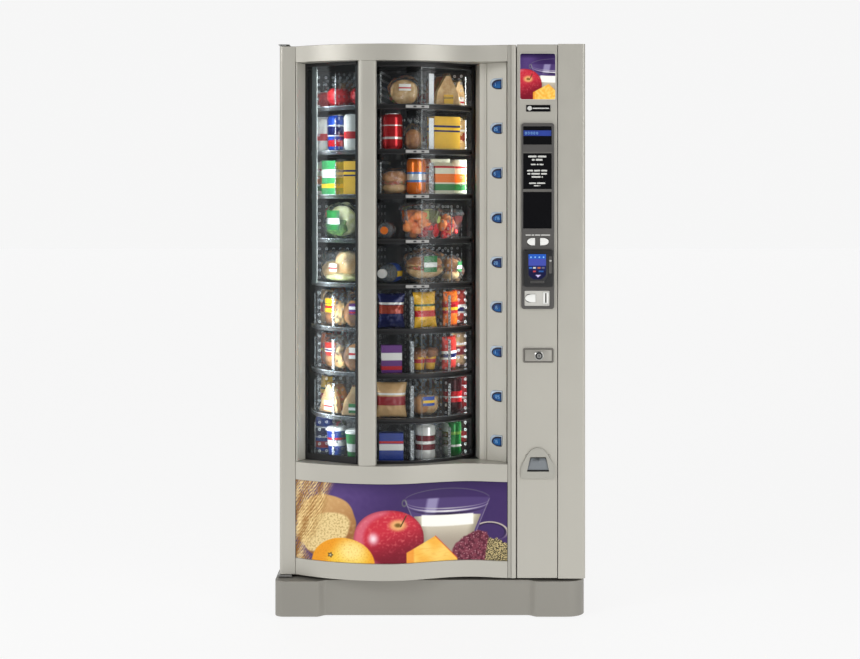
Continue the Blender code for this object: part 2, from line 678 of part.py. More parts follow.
def make_control_bezel(pivot):
    back, front = FRONT_Y - GAP, FRONT_Y - GAP - BEZEL_THICKNESS
    bezel = part("control_bezel", solid(rounded(BEZEL_X, BEZEL_Z, 0.008), front, back, upright),
                 "dark_bezel", pivot)
    windows = ((0.2965, 0.3870, 1.5060, 1.5640), (0.2965, 0.3870, 1.3650, 1.4780),
               (0.2965, 0.3870, 1.2390, 1.3550))
    through = (front - 0.01, back + 0.01)
    holes = bmesh.new()
    for x0, x1, z0, z1 in windows:
        block(holes, (x0, x1), through, (z0, z1))
    block(holes, (0.3010, 0.3850), through, (1.0600, 1.1660))
    block(holes, (0.3000, 0.3815), through, (0.9920, 1.0410))
    for tip, straight in ((0.3085, 0.3345), (0.3780, 0.3500)):
        prism(holes, half_moon(straight, tip, 1.1970, 0.0250), *through, upright)
    cut(bezel, holes)
    plate = box((0.2955, 0.3905), (back + 2 * GAP, back + 0.0075), (1.2345, 1.5675))
    module = part("display_module", plate, "display_blue", pivot)
    raised = bmesh.new()
    for x0, x1, z0, z1 in windows:
        block(raised, (x0 + GAP, x1 - GAP), (front + 0.003, back + 0.003), (z0 + GAP, z1 - GAP))
    join(module, raised)
    for side, tip, straight in (("left", 0.3090, 0.3340), ("right", 0.3775, 0.3505)):
        button_pivot = pivot_at(f"select_{side}_pivot", ((tip + straight) / 2, front, 1.1970), pivot)
        outline = half_moon(straight, tip, 1.1970, 0.0240)
        part(f"select_button_{side}", solid(outline, front - BUTTON_TRAVEL, back, upright),
             "white_plastic", button_pivot)


def make_bill_acceptor(pivot):
    front = FRONT_Y - BEZEL_THICKNESS - 2 * GAP
    mask = rounded((0.2975, 0.3915), (1.0540, 1.1720), 0.006)
    acceptor = part("bill_acceptor", solid(mask, front - 0.012, front, upright), "black_plastic",
                    pivot)
    join(acceptor, box((0.3030, 0.3830), (front - 0.004, FRONT_Y + 0.060), (1.0620, 1.1640)))
    cut(acceptor, box((0.3200, 0.3600), (front - 0.02, front + 0.030), (1.0700, 1.0735)))


def make_coin_parts(pivot):
    back, front = FRONT_Y - GAP, FRONT_Y - BEZEL_THICKNESS + 0.002
    outline = rounded((0.3005, 0.3810), (0.9925, 1.0405), 0.003)
    plate = part("coin_plate", solid(outline, front, back + 0.004, upright), "grey_plastic", pivot)
    through = (front - 0.01, back + 0.01)
    holes = solid(half_moon(0.3365, 0.3020, 1.0170, 0.0270), *through, upright)
    block(holes, (0.3668, 0.3704), through, (1.0030, 1.0330))
    cut(plate, holes)
    button_pivot = pivot_at("coin_return_pivot", (0.3190, front, 1.0170), pivot)
    button = half_moon(0.3360, 0.3025, 1.0170, 0.0260)
    part("coin_return_button", solid(button, front - BUTTON_TRAVEL, back + 0.003, upright),
         "white_plastic", button_pivot)


def make_lock(pivot):
    back, front = FRONT_Y - GAP, FRONT_Y - GAP - 0.004
    plate = part("lock_plate", solid(rounded((0.2955, 0.395), (0.811, 0.860), 0.005), front, back,
                                     upright), "steel", pivot)
    hole = circle((LOCK_X, LOCK_Z), LOCK_RADIUS + 0.0008, 24)
    cut(plate, solid(hole, front - 0.01, back + 0.01, upright))
    lock_pivot = pivot_at("lock_pivot", (LOCK_X, FRONT_Y, LOCK_Z), pivot)
    face = front - 0.004
    cylinder = part("lock_cylinder", solid(circle((LOCK_X, LOCK_Z), LOCK_RADIUS, 20), face,
                                           FRONT_Y + 0.022, upright), "steel", lock_pivot)
    cut(cylinder, box((LOCK_X - 0.0012, LOCK_X + 0.0012), (face - 0.01, face + 0.006),
                      (LOCK_Z - 0.0045, LOCK_Z + 0.0045)))


def cup_mouth(slack=0.0):
    """The coin cup's mouth, seen from the front: wider at its foot than at its top."""
    return [(0.3085 + slack, 0.4650 + slack), (0.3790 - slack, 0.4650 + slack),
            (0.3695 - slack, 0.5110 - slack), (0.3190 + slack, 0.5110 - slack)]


def make_coin_cup(pivot):
    """Coin-return cup with an arched surround, a pocket behind it and a hanging flap."""
    back, front = FRONT_Y - GAP, FRONT_Y - GAP - 0.006
    arch = [(0.2895, 0.4480), (0.2925, 0.4420), (0.3940, 0.4420), (0.3970, 0.4480),
            (0.3970, 0.4780), (0.3900, 0.4950)]
    arch += arc((0.34325, 0.5060), 0.0350, 12, 168, 8) + [(0.2965, 0.4950), (0.2895, 0.4780)]
    cup = part("coin_cup", solid(arch, front, back, upright), "grey_plastic", pivot)
    join(cup, box((0.3050, 0.3820), (back - 0.002, FRONT_Y + 0.060), (0.4560, 0.5180)))
    cut(cup, solid(cup_mouth(), front - 0.01, back - 0.001, upright))
    cut(cup, box((0.3075, 0.3795), (front + 0.0045, FRONT_Y + 0.0575), (0.4585, 0.5155)))
    flap_pivot = pivot_at("coin_flap_pivot", (0.34375, CUP_HINGE_Y, CUP_HINGE_Z), pivot)
    flap_y = (CUP_HINGE_Y - 0.001, CUP_HINGE_Y + 0.001)
    part("coin_cup_flap", solid(cup_mouth(0.0012), *flap_y, upright), "grey_plastic", flap_pivot)


def make_money_column_works():
    changer = part("coin_changer", box((0.296, 0.386), (-0.325, -0.240), (0.680, 0.975)),
                   "black_plastic")
    tubes = bmesh.new()
    for i in range(4):
        prism(tubes, circle((0.3090 + 0.0210 * i, -0.325), 0.008, 10), 0.700, 0.880)
    cut(changer, tubes)


def main():
    for thing in list(bpy.data.objects):
        bpy.data.objects.remove(thing)
    make_cabinet()
    make_base()
    make_kick_plate()
    make_column_housing()
    make_hinge_brackets()
    make_rear()
    make_refrigeration()
    fan("evaporator_fan", (AXIS_X, 1.500), 0.088, (0.200, 0.225))
    fan("condenser_fan", (0.030, 0.276), 0.088, (0.210, 0.235))
    make_drum_drive()
    make_main_door()
    make_money_column_works()
    make_money_door()


main()
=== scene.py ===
"""Looks of the rotary vending machine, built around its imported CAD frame.

Metres, +Z up, the front facing -Y. Angles called phi turn about the drum's axis, in degrees, from
the front towards the right. Pieces are made at rest and ride on the CAD bodies.
"""

import math
import random

import bmesh
import bpy
from mathutils import Matrix, Vector, noise


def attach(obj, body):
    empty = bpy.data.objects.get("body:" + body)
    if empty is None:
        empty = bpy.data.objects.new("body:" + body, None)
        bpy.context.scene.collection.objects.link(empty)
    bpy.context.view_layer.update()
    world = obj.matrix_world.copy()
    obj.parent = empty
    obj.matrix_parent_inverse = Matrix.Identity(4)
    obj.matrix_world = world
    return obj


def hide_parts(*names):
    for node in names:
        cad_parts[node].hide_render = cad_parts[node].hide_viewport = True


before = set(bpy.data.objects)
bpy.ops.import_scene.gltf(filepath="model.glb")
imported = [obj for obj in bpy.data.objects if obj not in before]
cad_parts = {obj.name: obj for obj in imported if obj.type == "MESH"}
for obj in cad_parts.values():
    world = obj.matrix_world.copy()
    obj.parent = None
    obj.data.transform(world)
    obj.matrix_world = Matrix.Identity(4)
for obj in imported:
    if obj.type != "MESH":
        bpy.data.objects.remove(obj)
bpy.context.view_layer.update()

# Places shared with the CAD part
FRONT_Y = -0.407
BOW_X, BOW_RISE, BOW_RADIUS = -0.137, 0.043, 0.520
VALLEY_X, VALLEY_RISE = 0.130, -0.016
FLAT_X, FLAT_RISE = 0.260, 0.002
DOOR_X, DOOR_Z, DOOR_BACK = (-0.484, 0.2745), (0.1256, 1.824), -0.300
STILE_X, GRAPHIC_Z, WINDOW_Z = (-0.4325, 0.2475), (0.179, 0.431), (0.488, 1.772)
JAMB_X, JAMB_Y = -0.4085, -0.309
MAIN_HINGE, PIN_BORE = (-0.470, -0.345), 0.0060
AXIS = (-0.125, -0.102)
TIERS, TIER_PITCH, FIRST_TRAY_TOP = 9, 0.1437, 1.636
TRAY_RADIUS, DIVIDER_RADIUS, HUB_RADIUS, HUB_BORE = 0.275, 0.268, 0.056, 0.0475
DIVIDER_HEIGHT, DRUM_CLEARANCE = 0.116, 0.2785
DIVIDERS = {1: (10, 28.9), 2: (10, 28.9), 3: (10, 28.9), 4: (5, 47.0), 5: (5, 47.0)}
LOWER_DIVIDERS = (12, 14.7)
STRIP_WIDTH, LOWER_STRIP_WIDTH = {1: 0.017, 2: 0.017, 3: 0.015, 4: 0.003, 5: 0.003}, 0.011
FIXED_PANE, TRACK, VEND_DOOR = (0.2795, 0.2830), (0.2840, 0.3055), (0.2985, 0.3015)
TRACK_PHI, TRACK_OPENING_PHI = (-22.0, 62.5), (-19.6, 59.6)
FIXED_PANE_PHI, VEND_DOOR_PHI = (-21.5, 20.5), (19.0, 59.0)
RAIL_HEIGHT, END_RAIL_HEIGHT, GRIP_PHI, GRIP_HEIGHT = 0.016, 0.008, (55.2, 57.4), 0.086
PRICE_PATH = ((0.2450, -0.3709), (0.1830, -0.3250), (0.1610, -0.3195), (0.1500, -0.2480))
LENS_WIDTH, LENS_HEIGHT, FIRST_LENS_Z = 0.047, 0.032, 1.706
BEZEL_THICKNESS = 0.008
LOCK_X, LOCK_Z = 0.347, 0.8335
COLUMN_FACE = FRONT_Y - 0.0005
BEZEL_FACE = COLUMN_FACE - BEZEL_THICKNESS
STEP_X, SILL = 0.2585, 0.018


# ---------------------------------------------------------------- outlines


def polar(radius, phi):
    turn = math.radians(phi)
    return (AXIS[0] + radius * math.sin(turn), AXIS[1] - radius * math.cos(turn))


def arc(centre, radius, start, stop, steps):
    turns = [math.radians(start + (stop - start) * i / steps) for i in range(steps + 1)]
    return [(centre[0] + radius * math.cos(t), centre[1] + radius * math.sin(t)) for t in turns]


def circle(centre, radius, steps=32):
    return arc(centre, radius, 0, 360, steps)[:-1]


def rectangle(x, y):
    return [(x[0], y[0]), (x[1], y[0]), (x[1], y[1]), (x[0], y[1])]


def band(radii, phis, steps):
    """The outline in plan of a curved sheet about the drum's axis."""
    turns = [phis[0] + (phis[1] - phis[0]) * i / steps for i in range(steps + 1)]
    return [polar(radii[1], t) for t in turns] + [polar(radii[0], t) for t in reversed(turns)]


def rounded(x, z, radius, steps=5):
    corners = ((x[1], z[0], -90), (x[1], z[1], 0), (x[0], z[1], 90), (x[0], z[0], 180))
    outline = []
    for a, b, start in corners:
        centre = (a - radius if a == x[1] else a + radius, b - radius if b == z[1] else b + radius)
        outline += arc(centre, radius, start, start + 90, steps)
    return outline


def offset(path, distance):
    """An open path moved sideways, to the left of its own direction."""
    points = [Vector(p) for p in path]
    moved = []
    for i, point in enumerate(points):
        before = (point - points[i - 1]).normalized() if i else None
        after = (points[i + 1] - point).normalized() if i + 1 < len(points) else None
        first, last = before or after, after or before
        side = Vector((-(first + last).y, (first + last).x)).normalized()
        reach = distance / max(0.3, side.dot(Vector((-first.y, first.x))))
        moved.append(tuple(point + side * reach))
    return moved


def ribbon(path, thickness):
    return list(path) + offset(path, thickness)[::-1]


def bow_rise(x):
    """How far the door's front stands in front of FRONT_Y."""
    if x <= BOW_X:
        return BOW_RISE - BOW_RADIUS + math.sqrt(BOW_RADIUS**2 - (x - BOW_X) ** 2)
    if x <= VALLEY_X:
        share = (1 + math.cos(math.pi * (x - BOW_X) / (VALLEY_X - BOW_X))) / 2
        return VALLEY_RISE + (BOW_RISE - VALLEY_RISE) * share
    share = (1 - math.cos(math.pi * min(1, (x - VALLEY_X) / (FLAT_X - VALLEY_X)))) / 2
    return VALLEY_RISE + (FLAT_RISE - VALLEY_RISE) * share


def bow_path(x0, x1, recess=0.0, steps=72):
    xs = [x0 + (x1 - x0) * i / steps for i in range(steps + 1)]
    return [(x, FRONT_Y - bow_rise(x) + recess) for x in xs]


def tray_top(tier):
    return FIRST_TRAY_TOP - TIER_PITCH * (tier - 1)


def tier_opening(tier):
    """The heights between the guide rails under and over a tier."""
    low = tray_top(tier) + 0.0005 if tier < TIERS else WINDOW_Z[0] + 0.0005 + END_RAIL_HEIGHT
    high = tray_top(tier - 1) + 0.0005 - RAIL_HEIGHT if tier > 1 else WINDOW_Z[1] - RAIL_HEIGHT
    return low, high


# ---------------------------------------------------------------- frames for extruded outlines


def flat(a, b, height):
    return Vector((a, b, height))


def upright(a, b, depth):
    return Vector((a, depth, b))


def price_axes():
    right, left = Vector(PRICE_PATH[0]), Vector(PRICE_PATH[1])
    along = (right - left).normalized()
    return along, Vector((along.y, -along.x)), (right + left) / 2


def on_price_panel(a, b, out):
    """A point on the slanted price panel, out of it towards the viewer."""
    along, normal, middle = price_axes()
    return Vector((*(middle + along * a + normal * out), b))


# ---------------------------------------------------------------- building meshes


def join(shape, rings, look=0, closed=False):
    """Walls between neighbouring rings of points, and from the last to the first if closed."""
    pairs = list(zip(rings, rings[1:])) + ([(rings[-1], rings[0])] if closed else [])
    for first, second in pairs:
        for i, corner in enumerate(first):
            j = (i + 1) % len(first)
            shape.faces.new((corner, first[j], second[j], second[i])).material_index = look


def seal(shape, rings, look=0):
    """Ends over the first and the last ring."""
    for ring in (rings[0][::-1], rings[-1]):
        shape.faces.new(ring).material_index = look


def weave(shape, rows, look=0):
    """An open skin over rows of points."""
    for low, high in zip(rows, rows[1:]):
        for i in range(len(low) - 1):
            shape.faces.new((low[i], low[i + 1], high[i + 1], high[i])).material_index = look


def prism(shape, outline, low, high, place=flat, look=0):
    """Adds an extruded outline to a bmesh."""
    rings = [[shape.verts.new(place(a, b, level)) for a, b in outline] for level in (low, high)]
    seal(shape, rings, look)
    join(shape, rings, look)
    return shape


def block(shape, x, y, z):
    return prism(shape, rectangle(x, y), *z)


def solid(outline, low, high, place=flat):
    return prism(bmesh.new(), outline, low, high, place)


def box(x, y, z):
    return block(bmesh.new(), x, y, z)


def turned(profile, centre, steps=40, place=flat, shape=None, look=0):
    """A solid or shell of revolution from (radius, level) points."""
    shape = shape or bmesh.new()
    rings = []
    for radius, level in profile:
        points = circle(centre, radius, steps) if radius > 1e-6 else [centre]
        rings.append([shape.verts.new(place(a, b, level)) for a, b in points])
    for inner, outer in zip(rings, rings[1:]):
        for i in range(steps):
            j = (i + 1) % steps
            corners = [inner[i % len(inner)], inner[j % len(inner)],
                       outer[j % len(outer)], outer[i % len(outer)]]
            corners = list(dict.fromkeys(corners))
            if len(corners) > 2:
                shape.faces.new(corners).material_index = look
    return shape


def sweep(path, section):
    """A section, in the plane across the path, carried along a path of points; ends sealed."""
    shape = bmesh.new()
    rings = []
    for i, point in enumerate(path):
        forward = (path[min(i + 1, len(path) - 1)] - path[max(i - 1, 0)]).normalized()
        side = forward.cross(Vector((0, 0, 1)))
        side = side.normalized() if side.length > 1e-6 else Vector((1, 0, 0))
        rise = side.cross(forward)
        rings.append([shape.verts.new(point + side * a + rise * b) for a, b in section])
    join(shape, rings)
    seal(shape, rings)
    return shape


def scaled_ring(shape, outline, centre, depth, wide, tall, place=upright):
    """An outline as points at a depth, scaled about a centre."""
    return [shape.verts.new(place(centre[0] + (a - centre[0]) * wide,
                                  centre[1] + (b - centre[1]) * tall, depth)) for a, b in outline]


def frustum(outline, centre, levels):
    """Stacked outlines, each (depth, scale) about a centre, joined by walls and sealed."""
    shape = bmesh.new()
    rings = [scaled_ring(shape, outline, centre, depth, scale, scale) for depth, scale in levels]
    join(shape, rings)
    seal(shape, rings)
    return shape


def round_edges(thing, width, segments, angle):
    edge = thing.modifiers.new("edges", "BEVEL")
    edge.width, edge.segments, edge.limit_method = width, segments, "ANGLE"
    edge.angle_limit, edge.harden_normals = math.radians(angle), True


def piece(name, shape, looks, body, bevel=0.0, segments=2, **facts):
    """Turns a bmesh into a piece that rides on a body."""
    bmesh.ops.recalc_face_normals(shape, faces=shape.faces)
    mesh = bpy.data.meshes.new(name)
    shape.to_mesh(mesh)
    shape.free()
    return placed(name, mesh, looks, body, bevel, segments, **facts)


def placed(name, mesh, looks, body, bevel=0.0, segments=2, smooth=32, replaces=(), slot=None):
    """Turns a mesh into a piece: smooth up to an angle, with rounded edges where asked."""
    mesh.shade_smooth()
    mesh.set_sharp_from_angle(angle=math.radians(smooth))
    for look in looks if isinstance(looks, list) else [looks]:
        mesh.materials.append(look)
    thing = bpy.data.objects.new(name, mesh)
    bpy.context.scene.collection.objects.link(thing)
    if bevel:
        round_edges(thing, bevel, segments, 32)
    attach(thing, body)
    if replaces:
        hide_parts(*replaces)
    return thing


def carry_over(node, look, bevel):
    """Gives a CAD node that stays on show its finish, and soft edges."""
    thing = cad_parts[node]
    thing.data.materials.clear()
    thing.data.materials.append(look)
    thing.modifiers.new("weld", "WELD").merge_threshold = 0.00001
    round_edges(thing, bevel, 2, 40)


# ---------------------------------------------------------------- materials


class Finish:
    """A node material under construction, with short ways to wire its nodes."""

    def __init__(self, name):
        self.made = bpy.data.materials.new(name)
        self.made.use_nodes = True
        self.nodes, self.links = self.made.node_tree.nodes, self.made.node_tree.links
        self.shader = self.nodes["Principled BSDF"]
        self.place = self.nodes.new("ShaderNodeTexCoord").outputs["Object"]

    def node(self, kind, **values):
        made = self.nodes.new(kind)
        for key, value in values.items():
            setattr(made, key, value)
        return made

    def wire(self, source, target):
        if isinstance(source, bpy.types.NodeSocket):
            self.links.new(source, target)
        else:
            target.default_value = source
        return target

    def math(self, operation, a, b=0.0, c=0.0, clamp=False):
        made = self.node("ShaderNodeMath", operation=operation, use_clamp=clamp)
        for value, target in zip((a, b, c), made.inputs):
            self.wire(value, target)
        return made.outputs[0]

    def axes(self):
        split = self.node("ShaderNodeSeparateXYZ")
        self.wire(self.place, split.inputs[0])
        return split.outputs

    def noise(self, scale, detail=3.0, roughness=0.55, stretch=None):
        made = self.node("ShaderNodeTexNoise")
        made.inputs["Scale"].default_value = scale
        made.inputs["Detail"].default_value = detail
        made.inputs["Roughness"].default_value = roughness
        vector = self.place
        if stretch:
            mapping = self.node("ShaderNodeMapping")
            mapping.inputs["Scale"].default_value = stretch
            self.wire(self.place, mapping.inputs["Vector"])
            vector = mapping.outputs[0]
        self.wire(vector, made.inputs["Vector"])
        return made.outputs["Fac"]

    def ramp(self, value, stops, ease="LINEAR"):
        made = self.node("ShaderNodeValToRGB")
        made.color_ramp.interpolation = ease
        elements = made.color_ramp.elements
        while len(elements) < len(stops):
            elements.new(0.5)
        for element, (at, colour) in zip(elements, stops):
            element.position, element.color = at, (*colour, 1.0)
        self.wire(value, made.inputs[0])
        return made.outputs[0]

    def mix(self, share, first, second):
        made = self.node("ShaderNodeMix", data_type="RGBA")
        self.wire(share, made.inputs[0])
        for value, target in ((first, made.inputs[6]), (second, made.inputs[7])):
            self.wire(value if isinstance(value, bpy.types.NodeSocket) else (*value, 1.0), target)
        return made.outputs[2]

    def span(self, value, low, high, from_low=0.0, from_high=1.0):
        made = self.node("ShaderNodeMapRange")
        for given, target in zip((value, from_low, from_high, low, high), made.inputs):
            self.wire(given, target)
        return made.outputs[0]

    def bump(self, height, strength, distance=0.001):
        made = self.node("ShaderNodeBump")
        made.inputs["Strength"].default_value = strength
        made.inputs["Distance"].default_value = distance
        self.wire(height, made.inputs["Height"])
        self.wire(made.outputs[0], self.shader.inputs["Normal"])

    def set(self, **sockets):
        for key, value in sockets.items():
            self.wire(value, self.shader.inputs[key.replace("_", " ")])
        return self


def srgb(r, g, b):
    """A colour given in 0-255 display values, as the linear values that a shader takes."""
    return tuple(((c / 255 + 0.055) / 1.055) ** 2.4 if c > 10 else c / 3295 for c in (r, g, b))


def shade(colour, factor):
    return tuple(min(1.0, c * factor) for c in colour)


def plain(name, colour, roughness=0.4, metallic=0.0, spread=0.05, scale=6.0, grain=900.0,
          depth=0.06, stretch=None, coat=0.0, specular=0.5):
    """Painted, moulded or bare metal: soft tone changes, uneven gloss and a fine surface grain."""
    f = Finish(name)
    tone = f.noise(scale, 4.0, stretch=stretch)
    f.set(Base_Color=f.ramp(tone, ((0.25, shade(colour, 1 - spread)),
                                   (0.75, shade(colour, 1 + spread)))))
    f.set(Roughness=f.span(f.noise(scale * 4, 3.0, stretch=stretch), roughness * 0.88,
                           roughness * 1.12, 0.3, 0.7))
    f.set(Metallic=metallic, Coat_Weight=coat, Coat_Roughness=0.15, Specular_IOR_Level=specular)
    f.bump(f.noise(grain, 2.0, stretch=stretch), depth, 0.0003)
    return f.made


def clear(name, tint, haze=0.06, ghost=0.10, gloss=0.04, marks=None):
    """Thin clear plastic or glass: mostly see-through, with a faint milky haze and reflections."""
    f = Finish(name)
    through = f.node("ShaderNodeBsdfTransparent")
    through.inputs["Color"].default_value = (*tint, 1.0)
    glossy = f.node("ShaderNodeBsdfGlossy")
    glossy.inputs["Roughness"].default_value = gloss
    milk = f.node("ShaderNodeBsdfDiffuse")
    milk.inputs["Color"].default_value = (0.80, 0.84, 0.86, 1.0)
    fresnel = f.node("ShaderNodeFresnel")
    fresnel.inputs["IOR"].default_value = 1.45
    cloudy = f.span(f.noise(9.0, 4.0), haze * 0.6, haze * 1.4, 0.3, 0.7)
    # The marks add milky haze: vent holes on the dividers, and painted glints along clear edges and
    # rims.
    if marks:
        cloudy = f.math("ADD", cloudy, marks(f), clamp=True)
    body = f.node("ShaderNodeMixShader")
    f.wire(cloudy, body.inputs[0])
    f.links.new(through.outputs[0], body.inputs[1])
    f.links.new(milk.outputs[0], body.inputs[2])
    shine = f.node("ShaderNodeMixShader")
    f.wire(f.math("MULTIPLY", fresnel.outputs[0], ghost), shine.inputs[0])
    f.links.new(body.outputs[0], shine.inputs[1])
    f.links.new(glossy.outputs[0], shine.inputs[2])
    f.links.new(shine.outputs[0], f.nodes["Material Output"].inputs["Surface"])
    f.nodes.remove(f.shader)
    return f.made


def vent_dots(f):
    """Rows of small vent holes in the drum's clear dividers, by distance from the drum's axis."""
    x, y, z = f.axes()
    across = f.math("POWER", f.math("SUBTRACT", x, AXIS[0]), 2.0)
    along = f.math("POWER", f.math("SUBTRACT", y, AXIS[1]), 2.0)
    reach = f.math("SQRT", f.math("ADD", across, along))
    pitch, hole, sharpness, strength = 0.024, 0.14, 11.0, 0.75
    cell_a = f.math("SUBTRACT", f.math("FRACT", f.math("DIVIDE", reach, pitch)), 0.5)
    cell_b = f.math("SUBTRACT", f.math("FRACT", f.math("DIVIDE", z, pitch)), 0.5)
    far = f.math("SQRT", f.math("ADD", f.math("POWER", cell_a, 2.0), f.math("POWER", cell_b, 2.0)))
    ring = f.math("SUBTRACT", 1.0, f.math("MULTIPLY", f.math(
        "ABSOLUTE", f.math("SUBTRACT", far, hole)), sharpness), clamp=True)
    return f.math("MULTIPLY", ring, strength)


def streaks(f):
    """Bright broken streaks, as light caught in the edge of clear plastic."""
    return f.math("MULTIPLY", f.math("GREATER_THAN", f.noise(160.0, 3.0), 0.56), 0.45)


def lens_finish(name):
    """Dark blue display lens, lighter towards its middle height, with a painted soft glow in its
    colour.
    """
    f = Finish(name)
    # Painted glow: noise patches between dark and lighter blue in the base colour; the lens gives
    # no light.
    glow = f.noise(26.0, 2.0, stretch=(1.0, 1.0, 2.2))
    f.set(Base_Color=f.ramp(glow, ((0.30, srgb(4, 26, 92)), (0.62, srgb(6, 92, 160)))),
          Roughness=f.span(f.noise(60.0, 2.0), 0.22, 0.32), Specular_IOR_Level=0.25)
    f.bump(f.noise(500.0, 2.0), 0.02, 0.0003)
    return f.made


def inside_out(name, outside, inside):
    """Cabinet walls: painted outside and dark inside, by place in the cabinet."""
    f = Finish(name)
    x, y, z = f.axes()
    inner = 1.0
    for value, low, high in ((x, -0.448, 0.471), (y, -1.0, 0.4005), (z, 0.149, 1.793)):
        inner = f.math("MULTIPLY", inner, f.math("GREATER_THAN", value, low))
        inner = f.math("MULTIPLY", inner, f.math("LESS_THAN", value, high))
    tone = f.span(f.noise(5.0, 4.0), 0.95, 1.05, 0.3, 0.7)
    side = f.math("LESS_THAN", x, -0.440)
    lining = f.mix(side, inside, LINER)
    f.set(Base_Color=f.mix(inner, outside, lining), Roughness=f.math("MULTIPLY", tone, 0.42))
    f.bump(f.noise(800.0, 2.0), 0.06, 0.0003)
    return f.made


def painted_picture(name, roughness=0.36):
    """Print under a clear cover, from the colours that the picture's mesh carries."""
    f = Finish(name)
    colours = f.node("ShaderNodeVertexColor", layer_name="print").outputs["Color"]
    dots = f.span(f.noise(1800.0, 1.0), 0.96, 1.04, 0.3, 0.7)
    scaled = f.node("ShaderNodeVectorMath", operation="SCALE")
    f.wire(colours, scaled.inputs[0])
    f.wire(dots, scaled.inputs["Scale"])
    f.set(Base_Color=scaled.outputs[0], Roughness=roughness, Coat_Weight=0.06,
          Coat_Roughness=0.08, Specular_IOR_Level=0.25)
    return f.made


BODY, LINER = srgb(186, 183, 173), srgb(186, 188, 188)
LOOK = {
    "body_paint": plain("body_paint", BODY, 0.36, 0.25, 0.025, 3.0, 700.0, 0.05, coat=0.12),
    # Lighter copy of the body paint: painted light on the window jambs and the price panel's bead,
    # which face sideways.
    "lit_body_paint": plain("lit_body_paint", shade(BODY, 1.16), 0.36, 0.15, 0.025, 3.0, 700.0, 0.05,
                         coat=0.12),
    "lamp_cover": plain("lamp_cover", srgb(128, 132, 128), 0.40, 0.0, 0.04, 10.0, 500.0, 0.04),
    "lock_inset": plain("lock_inset", srgb(158, 155, 147), 0.34, 0.25, 0.04, 20.0, 900.0, 0.06),
    "step_shade": plain("step_shade", shade(BODY, 0.80), 0.40, 0.25, 0.03, 3.0, 700.0, 0.05),
    "kick_paint": plain("kick_paint", srgb(146, 143, 135), 0.46, 0.20, 0.04, 4.0, 600.0, 0.08),
    "cabinet_paint": inside_out("cabinet_paint", BODY, (0.016, 0.016, 0.017)),
    "steel": plain("steel", (0.52, 0.52, 0.50), 0.34, 1.0, 0.06, 20.0, 400.0, 0.08,
                   stretch=(1.0, 1.0, 14.0)),
    "zinc": plain("zinc", (0.45, 0.45, 0.44), 0.42, 1.0, 0.12, 60.0, 300.0, 0.05),
    "black": plain("black_plastic", (0.011, 0.011, 0.012), 0.42, 0.0, 0.25, 30.0, 1200.0, 0.10),
    "gasket": plain("gasket_rubber", (0.008, 0.008, 0.009), 0.62, 0.0, 0.2, 50.0, 900.0, 0.12),
    "bezel": plain("dark_bezel", srgb(80, 78, 76), 0.45, 0.0, 0.05, 20.0, 1400.0, 0.16),
    "grey_dark": plain("grey_ridge", srgb(98, 96, 92), 0.42, 0.0, 0.04, 15.0, 1000.0, 0.12),
    "cup_grey": plain("cup_plastic", srgb(168, 166, 157), 0.40, 0.0, 0.03, 15.0, 1000.0, 0.10),
    "flap_grey": plain("flap_plastic", srgb(122, 127, 131), 0.32, 0.1, 0.04, 15.0, 1000.0, 0.06),
    "lock_grey": plain("lock_plate", srgb(118, 115, 109), 0.36, 0.30, 0.04, 20.0, 900.0, 0.08),
    "pale_grey": plain("pale_grey_plastic", srgb(196, 194, 188), 0.38, 0.0, 0.03, 15.0, 1000.0,
                       0.10),
    "tag_grey": plain("tag_strip", srgb(156, 155, 152), 0.40, 0.0, 0.12, 120.0, 900.0, 0.06),
    "white": plain("white_plastic", srgb(236, 236, 232), 0.34, 0.0, 0.02, 15.0, 1000.0, 0.06),
    "edge_clear": clear("divider_edge_clear", (0.90, 0.94, 0.95), 0.22, 0.9, 0.10, streaks),
    "rim_light": clear("tray_rim_clear", (0.90, 0.94, 0.95), 0.30, 0.9, 0.10, streaks),
    "edge_white": plain("divider_edge", srgb(232, 236, 238), 0.30, 0.0, 0.05, 40.0, 500.0, 0.04),
    "interior": plain("liner_dark", (0.014, 0.014, 0.015), 0.55, 0.0, 0.15, 12.0, 500.0, 0.05),
    "liner_light": plain("liner_light", LINER, 0.45, 0.0, 0.04, 8.0, 500.0, 0.05),
    "drum_core": plain("drum_core", (0.030, 0.031, 0.033), 0.40, 0.0, 0.10, 12.0, 500.0, 0.05),
    "aluminium": plain("aluminium", (0.60, 0.60, 0.60), 0.38, 1.0, 0.06, 30.0, 300.0, 0.08),
    "tray_clear": clear("tray_clear", (0.93, 0.96, 0.97), 0.06, 0.8, 0.10),
    "divider_clear": clear("divider_clear", (0.97, 0.985, 0.985), 0.016, 0.5, 0.06, vent_dots),
    "pane_clear": clear("pane_clear", (0.98, 0.99, 0.99), 0.004, 0.35, 0.03),
    "door_clear": clear("door_clear", (0.95, 0.965, 0.965), 0.012, 0.45, 0.05),
    "glass_tint": clear("glass_tint", (0.84, 0.88, 0.90), 0.008, 0.45, 0.015),
    "film": clear("wrap_film", (0.96, 0.97, 0.97), 0.04, 0.9, 0.12),
    "screen": plain("screen_black", (0.003, 0.003, 0.004), 0.16, 0.0, 0.1, 20.0, 200.0, 0.01,
                    coat=0.05, specular=0.25),
    "strip_blue": plain("display_strip", srgb(44, 66, 150), 0.14, 0.0, 0.10, 30.0, 200.0, 0.01,
                        coat=0.6),
    "lens_blue": lens_finish("lens_blue"),
    "lens_edge": plain("lens_edge", srgb(8, 12, 44), 0.20, 0.0, 0.05, 30.0, 400.0, 0.02,
                       specular=0.3),
    "lens_rim": plain("lens_rim", srgb(176, 190, 205), 0.25, 0.3, 0.05, 30.0, 400.0, 0.03),
    "digit": plain("digit_light", srgb(140, 196, 244), 0.30, 0.0, 0.02, 30.0, 400.0, 0.02),
    "mark": plain("label_mark", srgb(205, 205, 200), 0.45, 0.0, 0.02, 30.0, 400.0, 0.02),
    "picture": painted_picture("picture_print"),
}


# ---------------------------------------------------------------- main door


